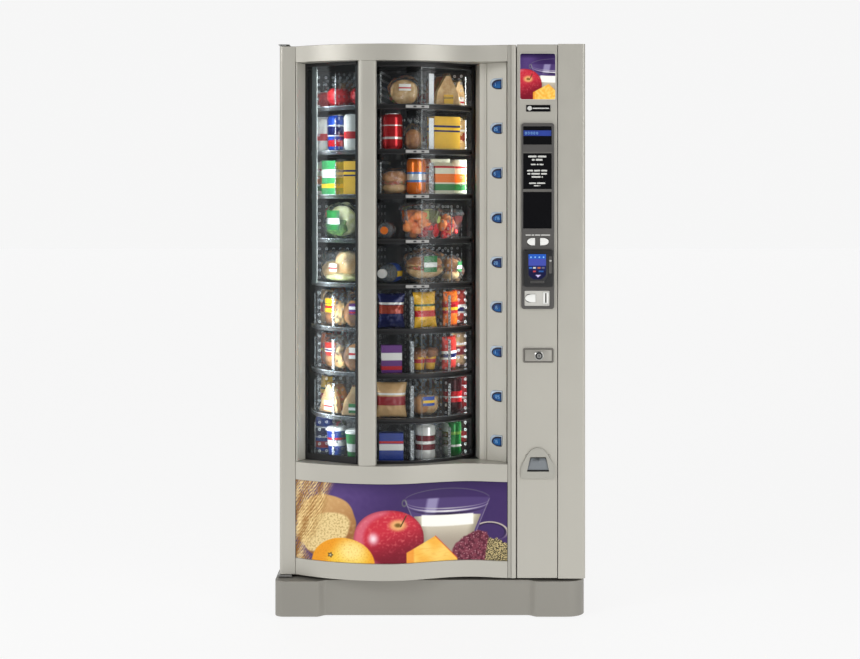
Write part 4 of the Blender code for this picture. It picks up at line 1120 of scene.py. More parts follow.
def make_screens():
    """Blue display strip, plain bars where words are printed, ridges and the two buttons."""
    front = BEZEL_FACE + 0.003
    strip = solid(rectangle((0.2975, 0.3860), (1.5335, 1.5510)), front - 0.0003, front, upright)
    piece("display_strip", strip, LOOK["strip_blue"], "money_door", slot="display_blue")
    lit = bmesh.new()
    for i in range(5):
        add_numeral(lit, "0", 0.3025 + i * 0.0090, 1.5385, 0.0050, 0.0078,
                    (front - 0.0005, front - 0.0003), upright)
    piece("display_numerals", lit, LOOK["digit"], "money_door")
    lines = ((0.3410, 0.058, 1.4680, 0.0056, (5, 5)), (0.3410, 0.034, 1.4575, 0.0056, (2, 5)),
             (0.3410, 0.040, 1.4425, 0.0042, (5, 2, 4)), (0.3410, 0.064, 1.4230, 0.0050, (4, 4, 4)),
             (0.3410, 0.062, 1.4130, 0.0050, (2, 6, 4)), (0.3410, 0.036, 1.4030, 0.0050, (8, 1)),
             (0.3410, 0.052, 1.3830, 0.0044, (6, 7)), (0.3410, 0.020, 1.3750, 0.0036, (5, 1)))
    caption = ((0.3430, 0.078, 1.2180, 0.0032, (4, 2, 4, 7)),)
    for name, rows, depth in (("instruction_bars", lines, front),
                              ("caption_bars", caption, BEZEL_FACE)):
        piece(name, bars(rows, depth), LOOK["mark"], "money_door")
    for name, low, high in (("ridge_upper", 1.4785, 1.4830), ("ridge_lower", 1.3560, 1.3640)):
        outline = rounded((0.2955, 0.3885), (low, high), 0.0012, 3)
        ridge = frustum(outline, (0.342, (low + high) / 2),
                        ((BEZEL_FACE + 0.0005, 1.0), (BEZEL_FACE - 0.0010, 0.97)))
        piece(name, ridge, LOOK["grey_dark"], "money_door", 0.0003)
    for side, tip, straight in (("left", 0.3090, 0.3340), ("right", 0.3775, 0.3505)):
        button(f"select_cap_{side}", f"select_button_{side}", straight, tip, 1.1970, 0.0236,
               BEZEL_FACE, (tip + straight) / 2, FRONT_Y)


def button(name, body, straight, tip, middle, height, face, centre, back):
    """Bullet-shaped cap with a rounded top, on its own body."""
    cap = frustum(bullet(straight, tip, middle, height), (centre, middle),
                  ((back, 1.0), (face - 0.0018, 1.0), (face - 0.0026, 0.97), (face - 0.0030, 0.90)))
    piece(name, cap, LOOK["white"], body, replaces=(body,), smooth=50, slot="white_plastic")


def make_note_unit():
    """Note acceptor: deep black mask with a raised tapering nose, blue label and key switch."""
    face = FRONT_Y - BEZEL_THICKNESS - 0.0010
    mask = frustum(rounded((0.2975, 0.3915), (1.0540, 1.1720), 0.007, 8), (0.3445, 1.1130),
                   ((face, 1.0), (face - 0.0070, 1.0), (face - 0.0100, 0.975),
                    (face - 0.0104, 0.93)))
    piece("note_mask", mask, LOOK["black"], "money_door", 0.0006, smooth=40,
          replaces=("bill_acceptor",), slot="black_plastic")
    box_shape = box((0.3030, 0.3830), (face + 0.0002, FRONT_Y + 0.060), (1.0620, 1.1640))
    piece("note_unit_body", box_shape, LOOK["black"], "money_door", 0.0015)
    nose = [(0.3080, 1.1600), (0.3080, 1.0900), (0.3200, 1.0700), (0.3415, 1.0640),
            (0.3630, 1.0700), (0.3740, 1.0900), (0.3740, 1.1600)]
    raised = frustum(nose[::-1], (0.3410, 1.1180), ((face - 0.0100, 1.0), (face - 0.0112, 0.99),
                                                    (face - 0.0117, 0.965)))
    piece("note_nose", raised, LOOK["black"], "money_door", 0.0005, smooth=40)
    x, z = (0.3125, 0.3680), (1.0775, 1.1575)
    wide, tall = x[1] - x[0], z[1] - z[0]

    def place(a, b):
        narrow = 1 - 0.62 * max(0.0, 1 - b / 0.20) ** 1.6
        return (x[0] + wide * (0.5 + (a - 0.5) * narrow), face - 0.01185, z[0] + tall * b)

    painted_sheet("note_label", 56, 80, place, wide, tall, label_picture, LOOK["picture"],
                  "money_door")
    slot_frame = frustum(rounded((0.3180, 0.3630), (1.0660, 1.0725), 0.002, 4), (0.3405, 1.0692),
                         ((face - 0.0100, 1.0), (face - 0.0121, 0.94)))
    piece("note_slot_lip", slot_frame, LOOK["bezel"], "money_door", 0.0003)
    gap = solid(rounded((0.3205, 0.3605), (1.0682, 1.0702), 0.0008, 3), face - 0.01225,
                face - 0.0118, upright)
    piece("note_slot_gap", gap, LOOK["gasket"], "money_door")
    switch = turned([(0, face - 0.0125), (0.0030, face - 0.0122), (0.0042, face - 0.0110),
                     (0.0042, face - 0.0095), (0, face - 0.0095)], (0.3820, 1.1370), 24, upright)
    piece("key_switch", switch, LOOK["steel"], "money_door", smooth=50)
    dent = frustum(rounded((0.3775, 0.3868), (1.0950, 1.1520), 0.003, 5), (0.3821, 1.1235),
                   ((face - 0.0098, 1.0), (face - 0.0107, 0.94)))
    piece("switch_plinth", dent, LOOK["bezel"], "money_door", 0.0004)


def make_coin_parts():
    """Coin plate with its slot frame, and the coin-return button."""
    front = FRONT_Y - BEZEL_THICKNESS + 0.002
    lip = bmesh.new()
    for a, b in (((0.3600, 0.3662), (1.0000, 1.0360)), ((0.3710, 0.3772), (1.0000, 1.0360)),
                 ((0.3600, 0.3772), (1.0338, 1.0368)), ((0.3600, 0.3772), (0.9990, 1.0020))):
        prism(lip, rectangle(a, b), front - 0.0022, front + 0.0002, upright)
    piece("coin_slot_frame", lip, LOOK["white"], "money_door", 0.0004)
    button("coin_return_cap", "coin_return_button", 0.3360, 0.3025, 1.0170, 0.0256, front, 0.3190,
           front + 0.004)


def make_lock():
    """Lock plate with a raised inset, a collar round the cylinder, its ring and keyway."""
    back = COLUMN_FACE
    outline = rounded((0.2968, 0.3935), (0.8115, 0.8580), 0.005, 6)
    plate = bmesh.new()
    levels = ((back, 1.0, 1.0), (back - 0.0034, 1.0, 1.0), (back - 0.0040, 0.985, 0.97),
              (back - 0.0040, 0.93, 0.88), (back - 0.0022, 0.90, 0.80))
    rings = [scaled_ring(plate, outline, (0.34525, 0.8355), *level) for level in levels]
    join(plate, rings)
    plate.faces.new(rings[-1])
    piece("lock_escutcheon", plate, LOOK["lock_grey"], "money_door", smooth=28,
          replaces=("lock_plate",), slot="steel")
    inset = frustum(rounded((0.3030, 0.3875), (0.8165, 0.8530), 0.003, 5), (0.34525, 0.83475),
                    ((back - 0.0018, 1.0), (back - 0.0030, 1.0), (back - 0.0034, 0.985)))
    piece("lock_inset", inset, LOOK["lock_inset"], "money_door", 0.0003)
    ring = [(0.0072, back - 0.0078), (0.0072, back - 0.0086), (0.0108, back - 0.0082),
            (0.0110, back - 0.0070), (0.0072, back - 0.0078)]
    piece("lock_ring", turned(ring, (LOCK_X, LOCK_Z), 40, upright), LOOK["black"], "lock_cylinder",
          smooth=40)
    collar = [(0.0113, back - 0.0020), (0.0150, back - 0.0020), (0.0146, back - 0.0042),
              (0.0126, back - 0.0052), (0.0113, back - 0.0046), (0.0113, back - 0.0020)]
    piece("lock_collar", turned(collar, (LOCK_X, LOCK_Z), 48, upright), LOOK["steel"], "money_door",
          smooth=40)
    key = frustum(rounded((LOCK_X - 0.0010, LOCK_X + 0.0010), (LOCK_Z - 0.0042, LOCK_Z + 0.0042),
                          0.0006, 3), (LOCK_X, LOCK_Z),
                  ((back - 0.0078, 1.0), (back - 0.0083, 0.9)))
    piece("keyway", key, LOOK["gasket"], "lock_cylinder")


def arch_outline():
    """The coin cup's surround: a broad round arch on a straight foot with round corners."""
    left, right, foot, top, corner = 0.2895, 0.3960, 0.4422, 0.5400, 0.008
    middle, half, shoulder = (left + right) / 2, (right - left) / 2, 0.4520
    outline = arc((left + corner, foot + corner), corner, 180, 270, 6)
    outline += arc((right - corner, foot + corner), corner, 270, 360, 6)
    for i in range(1, 28):
        turn = math.pi * i / 28
        outline.append((middle + half * math.cos(turn),
                        shoulder + (top - shoulder) * math.sin(turn) ** 1.12))
    return outline


def make_cup():
    """Arched coin cup: a bevelled surround over the pocket, and a folded flap."""
    back = COLUMN_FACE
    outline = arch_outline()
    mouth = [(0.3052, 0.4650), (0.3842, 0.4650), (0.3680, 0.5120), (0.3200, 0.5120)]
    centre = (0.34325, 0.4880)
    rim = bmesh.new()
    rings = [scaled_ring(rim, outline, centre, depth, scale, scale) for depth, scale in (
        (back, 1.0), (back - 0.0036, 1.0), (back - 0.0064, 0.960), (back - 0.0066, 0.93))]
    hole = [toward_mouth(a, b, centre, mouth) for a, b in outline]
    rings += [[rim.verts.new(upright(a, b, back - depth)) for a, b in hole]
              for depth in (0.0034, 0.0010)]
    join(rim, rings)
    piece("cup_surround", rim, LOOK["cup_grey"], "money_door", smooth=30, slot="grey_plastic")
    flap = bmesh.new()
    front = FRONT_Y - 0.0019
    rows = ((0.4700, 0.0000), (0.4722, 0.0006), (0.4950, 0.0011), (0.5078, 0.0002))
    grid = []
    for z, swell in rows:
        share = (z - 0.4650) / 0.0460
        left, right = 0.3052 + 0.0148 * share + 0.0010, 0.3842 - 0.0162 * share - 0.0010
        xs = [left, left + 0.004, (left + right) / 2 + 0.004, right - 0.020 - 0.006 * share,
              right - 0.0185 - 0.006 * share, right - 0.003, right]
        lifts = [0.0, 1.0, 1.0, 1.0, 0.2, 0.1, 0.0]
        grid.append([flap.verts.new((x, front - 0.0004 - swell * lift, z))
                     for x, lift in zip(xs, lifts)])
    weave(flap, grid)
    made = piece("cup_flap", flap, LOOK["flap_grey"], "coin_cup_flap", replaces=("coin_cup_flap",),
                 smooth=25, slot="grey_plastic")
    skin = made.modifiers.new("skin", "SOLIDIFY")
    skin.thickness, skin.offset = 0.0014, -1.0
    lip = solid(rounded((0.3058, 0.3836), (0.4640, 0.4692), 0.001, 3), FRONT_Y - 0.001,
                FRONT_Y + 0.012, upright)
    piece("cup_shadow_lip", lip, LOOK["gasket"], "money_door", 0.0004)


def toward_mouth(a, b, centre, mouth):
    """Where the ray from the centre through (a, b) meets the mouth's outline."""
    da, db = a - centre[0], b - centre[1]
    best = 1e9
    for (x0, z0), (x1, z1) in zip(mouth, mouth[1:] + mouth[:1]):
        ex, ez = x1 - x0, z1 - z0
        cross = da * ez - db * ex
        if abs(cross) < 1e-12:
            continue
        t = ((x0 - centre[0]) * ez - (z0 - centre[1]) * ex) / cross
        s = ((x0 - centre[0]) * db - (z0 - centre[1]) * da) / cross
        if t > 0 and -1e-9 <= s <= 1 + 1e-9:
            best = min(best, t)
    return centre[0] + da * best, centre[1] + db * best


# ---------------------------------------------------------------- drum and trays


def make_tray(tier):
    """Clear tray with an upturned lip, radial dividers with vent dots, and a dark core sleeve."""
    count, phase = DIVIDERS.get(tier, LOWER_DIVIDERS)
    top = tray_top(tier)
    floor_z, underside = top - 0.0020, top - 0.0046
    profile = [(HUB_BORE, floor_z), (TRAY_RADIUS - 0.0070, floor_z), (TRAY_RADIUS - 0.0032, top),
               (TRAY_RADIUS - 0.0012, top), (TRAY_RADIUS, top - 0.0010),
               (TRAY_RADIUS, top - 0.0125), (TRAY_RADIUS - 0.0018, top - 0.0145),
               (TRAY_RADIUS - 0.0034, top - 0.0125), (TRAY_RADIUS - 0.0046, underside),
               (HUB_BORE, underside)]
    floor = turned(profile, AXIS, 120)
    piece(f"tray_floor_{tier}", floor, LOOK["tray_clear"], "drum", replaces=(f"tray_{tier}",),
          slot="clear_plastic", smooth=35)
    rim = turned([(TRAY_RADIUS - 0.0016, top - 0.0002), (TRAY_RADIUS + 0.0002, top - 0.0008),
                  (TRAY_RADIUS + 0.0002, top - 0.0022), (TRAY_RADIUS - 0.0016, top - 0.0016),
                  (TRAY_RADIUS - 0.0016, top - 0.0002)], AXIS, 120)
    piece(f"tray_rim_{tier}", rim, LOOK["rim_light"], "drum", smooth=50)
    sheets, edges = bmesh.new(), bmesh.new()
    step = 360 / count
    for i in range(count):
        phi = phase + i * step
        inner, outer = HUB_RADIUS + 0.001, DIVIDER_RADIUS
        levels = (top - 0.001, top + DIVIDER_HEIGHT - 0.014, top + DIVIDER_HEIGHT)
        corners = [(inner, levels[0]), (outer, levels[0]), (outer, levels[1])]
        corners += [(outer - 0.014 + 0.014 * math.cos(t), levels[1] + 0.014 * math.sin(t))
                    for t in (math.pi / 8, math.pi / 4, 3 * math.pi / 8)]
        corners += [(outer - 0.014, levels[2]), (inner, levels[2])]
        sheets.faces.new([sheets.verts.new((*polar(r, phi), z)) for r, z in corners])
        wide = STRIP_WIDTH.get(tier, LOWER_STRIP_WIDTH) if tier > 3 or i == 0 else 0.004
        lean = math.degrees(wide / 2 / outer)
        bead = rectangle((outer - 0.0012, outer + 0.0008), levels[:2])
        rings = [[edges.verts.new((*polar(r, phi + side), z)) for r, z in bead]
                 for side in (-lean, lean)]
        join(edges, rings)
        seal(edges, rings)
        if tier < 3 and i == 0:
            for face in edges.faces:
                face.material_index = 1
    piece(f"dividers_{tier}", sheets, LOOK["divider_clear"], "drum", slot="clear_plastic")
    piece(f"divider_edges_{tier}", edges, [LOOK["edge_clear"], LOOK["edge_white"]], "drum")
    sleeve = turned([(0.0468, top - 0.004), (HUB_RADIUS, top - 0.004), (HUB_RADIUS, top + 0.110),
                     (HUB_RADIUS - 0.004, top + DIVIDER_HEIGHT), (0.0468, top + DIVIDER_HEIGHT)],
                    AXIS, 64)
    piece(f"core_sleeve_{tier}", sleeve, LOOK["drum_core"], "drum", smooth=35)


# ---------------------------------------------------------------- goods


def label_look(name, base, bands=(), roughness=0.35, metallic=0.0, crinkle=0.0):
    """Printed wrap: a base colour with plain bands at heights over the item's own box."""
    f = Finish(name)
    split = f.node("ShaderNodeSeparateXYZ")
    f.wire(f.node("ShaderNodeTexCoord").outputs["Generated"], split.inputs[0])
    level = split.outputs[2]
    colour = f.ramp(f.noise(24.0, 3.0), ((0.3, shade(base, 0.92)), (0.7, shade(base, 1.06))))
    for low, high, tint in bands:
        over_low, under_high = f.math("GREATER_THAN", level, low), f.math("LESS_THAN", level, high)
        colour = f.mix(f.math("MULTIPLY", over_low, under_high), colour, tint)
    f.set(Base_Color=colour, Roughness=f.span(f.noise(40.0, 2.0), roughness * 0.85,
                                              roughness * 1.15, 0.3, 0.7))
    f.set(Metallic=metallic, Coat_Weight=0.25, Coat_Roughness=0.10)
    f.bump(f.noise(70.0 if crinkle else 600.0, 5.0 if crinkle else 2.0), crinkle or 0.04,
           0.004 if crinkle else 0.0003)
    return f.made


def food_look(name, first, second, scale=60.0, roughness=0.55, third=None):
    """Bread, fruit or filling, mottled between two or three colours."""
    f = Finish(name)
    stops = [(0.36, first), (0.60, second)] + ([(0.74, third)] if third else [])
    f.set(Base_Color=f.ramp(f.noise(scale, 5.0, 0.65), stops),
          Roughness=f.span(f.noise(scale * 2, 3.0), roughness * 0.8, roughness * 1.2, 0.3, 0.7),
          Coat_Weight=0.10)
    f.bump(f.noise(scale * 4, 4.0), 0.30, 0.002)
    return f.made


RED, DEEP_RED, ORANGE = srgb(196, 24, 34), srgb(110, 16, 30), srgb(240, 120, 24)
YELLOW, CREAM, WHITE = srgb(246, 200, 44), srgb(236, 222, 190), srgb(236, 236, 232)
GREEN, LEAF = srgb(36, 130, 60), srgb(120, 168, 70)
BLUE, NAVY, SKY = srgb(28, 72, 176), srgb(18, 28, 92), srgb(90, 140, 214)
PURPLE = srgb(104, 50, 130)
# Printed wraps: base colour, bands (low, high, colour), roughness, metal and crinkle
WRAPS = {
    "can_red": (RED, ((0.30, 0.36, WHITE), (0.66, 0.69, WHITE)), 0.22, 0.6),
    "can_blue": (BLUE, ((0.12, 0.30, RED), (0.40, 0.72, WHITE), (0.44, 0.68, NAVY)), 0.22, 0.6),
    "can_orange": (ORANGE, ((0.34, 0.62, SKY), (0.40, 0.56, WHITE)), 0.22, 0.6),
    "can_white": (WHITE, ((0.30, 0.70, DEEP_RED), (0.46, 0.54, WHITE)), 0.24, 0.4),
    "can_green": (GREEN, ((0.28, 0.34, WHITE), (0.62, 0.70, LEAF)), 0.22, 0.6),
    "can_dark": (srgb(60, 16, 22), ((0.30, 0.60, RED), (0.42, 0.46, WHITE)), 0.22, 0.6),
    "box_yellow": (srgb(240, 190, 60), ((0.55, 0.74, NAVY), (0.60, 0.68, YELLOW))),
    "box_blue": (srgb(30, 60, 150), ((0.40, 0.62, WHITE), (0.64, 0.72, RED))),
    "box_purple": (PURPLE, ((0.45, 0.72, WHITE), (0.10, 0.24, RED))),
    "box_green": (srgb(60, 150, 90), ((0.50, 0.74, WHITE), (0.20, 0.32, YELLOW))),
    "carton": (srgb(226, 224, 200), ((0.12, 0.30, GREEN), (0.34, 0.58, ORANGE),
                                     (0.74, 0.80, RED))),
    "bag_blue": (srgb(22, 30, 84), ((0.42, 0.66, srgb(160, 60, 40)), (0.68, 0.74, WHITE)),
                 0.26, 0.3, 0.35),
    "bag_orange": (srgb(226, 110, 30), ((0.36, 0.70, srgb(170, 20, 30)), (0.46, 0.54, YELLOW)),
                   0.26, 0.3, 0.35),
    "bag_yellow": (srgb(240, 186, 40), ((0.30, 0.48, RED), (0.60, 0.66, srgb(30, 90, 60))),
                   0.28, 0.2, 0.30),
    "bag_red": (srgb(190, 52, 44), ((0.30, 0.56, WHITE), (0.36, 0.48, NAVY)), 0.28, 0.2, 0.30),
    "bag_cream": (srgb(208, 170, 120), ((0.34, 0.60, srgb(150, 30, 40)), (0.64, 0.70, WHITE)),
                  0.34, 0.0, 0.30),
    "label_green": (srgb(40, 120, 60), ((0.30, 0.60, WHITE),), 0.4),
    "label_white": (srgb(232, 230, 222), ((0.32, 0.52, RED),), 0.4),
    "label_blue_band": (srgb(40, 80, 170), ((0.30, 0.60, YELLOW),), 0.4),
}
# Food: two colours, scale of the mottling, roughness and a third colour where there is one
FOODS = {
    "bread": (srgb(206, 158, 96), srgb(232, 200, 148), 34.0, 0.6),
    "crust": (srgb(160, 98, 48), srgb(206, 146, 84), 30.0, 0.5),
    "filling": (srgb(90, 130, 50), srgb(200, 70, 60), 90.0, 0.5, CREAM),
    "muffin": (srgb(96, 56, 30), srgb(160, 100, 52), 60.0, 0.6),
    "melon": (srgb(236, 120, 60), srgb(246, 160, 96), 50.0, 0.4),
    "berry": (srgb(196, 30, 44), srgb(226, 70, 70), 60.0, 0.35),
    "pale_fruit": (srgb(214, 214, 140), srgb(236, 232, 190), 50.0, 0.4),
    "honeydew": (srgb(168, 178, 84), srgb(206, 212, 130), 50.0, 0.4),
    "leafy": (srgb(50, 110, 40), srgb(130, 176, 80), 60.0, 0.5, srgb(206, 220, 170)),
    "apple_skin": (srgb(140, 22, 34), srgb(190, 46, 48), 24.0, 0.28),
}
LABELS = {
    **{name: label_look(name, *facts) for name, facts in WRAPS.items()},
    **{name: food_look(name, *facts) for name, facts in FOODS.items()},
    "can_metal": plain("can_metal", (0.66, 0.66, 0.66), 0.26, 1.0, 0.04, 60.0, 500.0, 0.03),
    "cap_orange": plain("cap_orange", ORANGE, 0.32, 0.0, 0.04, 40.0, 600.0, 0.06),
    "cap_white": plain("cap_white", WHITE, 0.32, 0.0, 0.04, 40.0, 600.0, 0.06),
    "bottle": clear("bottle_clear", (0.80, 0.88, 0.93), 0.12, 0.9, 0.04),
    "tub": clear("tub_clear", (0.97, 0.98, 0.98), 0.03, 0.8, 0.05),
}


TRAY_DISH, LABEL_GAP, RIPPLE, RIPPLE_SCALE = 0.0015, 0.0022, 0.0018, 90


def stand_on(tier, radius, phi):
    """The place of an item in a tray: its floor's centre and the turn that faces outwards."""
    x, y = polar(radius, phi)
    place = Matrix.Translation(Vector((x, y, tray_top(tier) - TRAY_DISH)))
    return place @ Matrix.Rotation(math.radians(phi), 4, "Z")


def good(name, shape, looks, place, bevel=0.0, smooth=40):
    """A goods piece, made about its own foot, then set down in its tray."""
    bmesh.ops.transform(shape, matrix=place, verts=shape.verts)
    return piece(name, shape, looks, "drum", bevel, smooth=smooth)


def can(name, place, look, height=0.118, radius=0.0325):
    """Drinks can with necked shoulders, a rolled rim, a dished lid and a pull tab."""
    shape = bmesh.new()
    wall = [(radius * 0.70, 0.0), (radius * 0.80, 0.002), (radius * 0.96, 0.008), (radius, 0.013),
            (radius, height - 0.013), (radius * 0.93, height - 0.006),
            (radius * 0.83, height - 0.002)]
    turned(wall, (0, 0), 36, shape=shape, look=0)
    lid = [(radius * 0.83, height - 0.002), (radius * 0.84, height), (radius * 0.81, height),
           (radius * 0.77, height - 0.004), (0, height - 0.0035)]
    turned(lid, (0, 0), 36, shape=shape, look=1)
    turned([(radius * 0.70, 0.0), (0, 0.004)], (0, 0), 36, shape=shape, look=1)
    prism(shape, rounded((-0.007, 0.007), (-0.014, 0.006), 0.005, 4), height - 0.0030,
          height - 0.0018, look=1)
    return good(name, shape, [LABELS[look], LABELS["can_metal"]], place, smooth=50)


def carton(name, place, look, size, gable=0.0):
    """Folded carton, with a gable top where asked, and its sealed fin."""
    w, d, h = size[0] / 2, size[1] / 2, size[2]
    shape = bmesh.new()
    outline = rectangle((-w, w), (-d, d))
    if not gable:
        prism(shape, outline, 0, h)
        prism(shape, rectangle((-w, w), (-d, -d * 0.35)), h, h + 0.0006)
        return good(name, shape, [LABELS[look]], place, 0.0012)
    low, mid = ([shape.verts.new((x, y, level)) for x, y in outline] for level in (0, h - gable))
    ridge = [shape.verts.new((-w, 0, h - 0.010)), shape.verts.new((w, 0, h - 0.010))]
    shape.faces.new(low[::-1])
    join(shape, [low, mid])
    for corners in ((mid[0], mid[1], ridge[1], ridge[0]), (mid[2], mid[3], ridge[0], ridge[1]),
                    (mid[1], mid[2], ridge[1]), (mid[3], mid[0], ridge[0])):
        shape.faces.new(corners)
    prism(shape, rectangle((-w, w), (-0.0012, 0.0012)), h - 0.0115, h)
    return good(name, shape, [LABELS[look]], place, 0.0010)


def pouch(name, place, look, size, seed, lean=0.0):
    """Crinkled pillow bag with sealed ends, standing on its lower seal."""
    w, d, h = size
    shape = bmesh.new()
    columns, rows = 22, 28
    for side in (-1, 1):
        grid = []
        for j in range(rows + 1):
            v = j / rows
            belly = math.sin(math.pi * v)
            line = []
            for i in range(columns + 1):
                u = i / columns
                puff = (math.sin(math.pi * u) ** 0.55) * (belly ** 0.45)
                wrinkle = noise.noise(Vector((u * 5, v * 7, seed + side))) * 0.22
                x = (u - 0.5) * w * (1 - 0.10 * belly)
                y = side * d / 2 * puff * (1 + wrinkle) + lean * v
                crease = 0.0012 * math.sin(u * 60 + seed) * (1 - belly) ** 2
                line.append(shape.verts.new((x, y + crease, v * h)))
            grid.append(line)
        weave(shape, grid)
    bmesh.ops.remove_doubles(shape, verts=shape.verts, dist=0.00002)
    return good(name, shape, [LABELS[look]], place, smooth=70)


def lump(shape, centre, size, seed, look=0, rough=0.12, power=2.4, detail=3):
    """A rounded block with an uneven surface."""
    made = bmesh.ops.create_icosphere(shape, subdivisions=detail, radius=1.0)
    for vert in made["verts"]:
        n = vert.co.copy()
        far = (abs(n.x) ** power + abs(n.y) ** power + abs(n.z) ** power) ** (1 / power)
        swell = 1 + rough * noise.noise(n * 2.2 + Vector((seed, seed * 0.7, 0)))
        reach = Vector((n.x * size[0], n.y * size[1], n.z * size[2]))
        vert.co = Vector(centre) + reach / far * swell
    for face in {f for vert in made["verts"] for f in vert.link_faces}:
        face.material_index = look


def wrapped(name, place, fills, film_size, seed, label=None):
    """Food in clear film: the food's lumps, a crinkled skin around it, and a plain label."""
    food = bmesh.new()
    looks = []
    for i, (look, centre, size, rough) in enumerate(fills):
        lump(food, centre, size, seed + i * 3.1, i, rough)
        looks.append(LABELS[look])
    good(f"{name}_food", food, looks, place, smooth=60)
    skin = bmesh.new()
    w, d, h = film_size
    lump(skin, (0, 0, h / 2), (w / 2, d / 2, h / 2), seed, rough=0.22, power=3.0, detail=4)
    for vert in skin.verts:
        ripple = noise.noise(vert.co * RIPPLE_SCALE + Vector((seed, 0, 0))) * RIPPLE
        vert.co += vert.co.normalized() * ripple
        vert.co.z = max(0.0002, vert.co.z)
    good(f"{name}_film", skin, [LOOK["film"]], place, smooth=20)
    if label:
        look, size, level = label
        tag = bmesh.new()
        columns, rows = 8, 5
        line = []
        for j in range(rows):
            row = []
            for i in range(columns + 1):
                u = i / columns - 0.5
                bulge = math.sqrt(max(0.0, 1 - (2 * u * size[0] / w) ** 2))
                row.append(tag.verts.new((u * size[0], -(d / 2 + LABEL_GAP) * bulge,
                                          level + (j / (rows - 1) - 0.5) * size[1])))
            line.append(row)
        weave(tag, line)
        good(f"{name}_label", tag, [LABELS[look]], place, smooth=60)


def wedge_pack(name, place, seed, label="label_green", width=0.075, height=0.100, depth=0.060):
    """Cut sandwich in a clear wedge pack: bread, filling, bread behind a window."""
    food = bmesh.new()
    for i, (y0, y1) in enumerate(((-0.5, -0.22), (-0.22, 0.10), (0.10, 0.5))):
        corners = rectangle((-width / 2 + 0.003, width / 2 - 0.003), (y0, y1))
        layer = []
        for level, scale in ((0.003, 1.0), (height * 0.45, 0.85), (height * 0.93, 0.16)):
            layer.append([food.verts.new((
                a * scale + 0.001 * noise.noise(Vector((a * 80, b, seed))), b * depth, level))
                for a, b in corners])
        join(food, layer, i)
        seal(food, layer, i)
    good(f"{name}_food", food, [LABELS["bread"], LABELS["filling"], LABELS["crust"]], place, 0.0015)
    pack = bmesh.new()
    side = [(-width / 2, 0), (width / 2, 0), (width / 2, 0.008), (0.006, height), (-0.006, height),
            (-width / 2, 0.008)]
    prism(pack, side, -depth / 2 - 0.002, depth / 2 + 0.002, upright)
    good(f"{name}_pack", pack, [LABELS["tub"]], place, 0.0015)
    tag = solid(rectangle((-0.018, 0.018), (0.010, 0.040)), -depth / 2 - 0.0032,
                -depth / 2 - 0.0026, upright)
    good(f"{name}_label", tag, [LABELS[label]], place)


def tub(name, place, radius, height, fills, seed, lid=True, chunk=0.011, count=46,
        oval=(1.0, 1.0), sorted_fruit=False):
    """Round or oval clear tub filled with chunks of fruit or salad, under a domed lid."""
    place = place @ Matrix.Diagonal((*oval, 1.0, 1.0))
    source = random.Random(seed)
    food = bmesh.new()
    for i in range(count):
        turn, reach = source.uniform(0, 2 * math.pi), radius * 0.80 * math.sqrt(source.random())
        level = 0.010 + (height * 0.72 - 0.010) * source.random()
        reach *= 0.72 + 0.28 * level / height
        size = chunk * source.uniform(0.7, 1.25)
        spot = (reach * math.cos(turn), reach * math.sin(turn), level)
        kind = i % len(fills)
        if sorted_fruit:
            kind = 0 if spot[0] < 0.1 * radius else 1 if level < height * 0.42 else 2
        lump(food, spot, (size, size * source.uniform(0.6, 1.0), size * source.uniform(0.6, 1.0)),
             seed + i, kind, 0.15, 3.4, 2)
    good(f"{name}_food", food, [LABELS[look] for look in fills], place, smooth=60)
    shell = turned([(radius * 0.66, 0.001), (radius * 0.70, 0.003), (radius * 0.97, height * 0.78),
                    (radius * 1.03, height * 0.80)], (0, 0), 48)
    good(f"{name}_tub", shell, [LABELS["tub"]], place, smooth=60)
    if lid:
        dome = turned([(radius * 1.03, height * 0.80), (radius * 1.02, height * 0.85),
                       (radius * 0.90, height * 0.97), (radius * 0.55, height), (0, height)],
                      (0, 0), 48)
        good(f"{name}_lid", dome, [LABELS["tub"]], place, smooth=60)


def bottle(name, place, cap, label, length=0.19, radius=0.031):
    """Clear ribbed drink bottle with a cap and a plain label sleeve."""
    shape = bmesh.new()
    wall = [(0, 0.004), (radius * 0.6, 0.0), (radius * 0.95, 0.006)]
    wall += [(radius * (1.0 - 0.05 * (i % 2)), 0.014 + i * 0.006) for i in range(7)]
    wall += [(radius, 0.060), (radius, length * 0.66), (radius * 0.84, length * 0.76),
             (radius * 0.42, length * 0.88), (radius * 0.40, length * 0.94)]
    turned(wall, (0, 0), 32, shape=shape)
    good(f"{name}_body", shape, [LABELS["bottle"]], place, smooth=50)
    sleeve = turned([(radius * 1.012, 0.058), (radius * 1.012, length * 0.62)], (0, 0), 32)
    good(f"{name}_sleeve", sleeve, [LABELS[label]], place, smooth=60)
    top = bmesh.new()
    ribs = []
    for i in range(48):
        turn = 2 * math.pi * i / 48
        reach = radius * (0.47 + 0.02 * (i % 2))
        ribs.append((reach * math.cos(turn), reach * math.sin(turn)))
    prism(top, ribs, length * 0.92, length)
    good(f"{name}_cap", top, [LABELS[cap]], place, 0.0008)


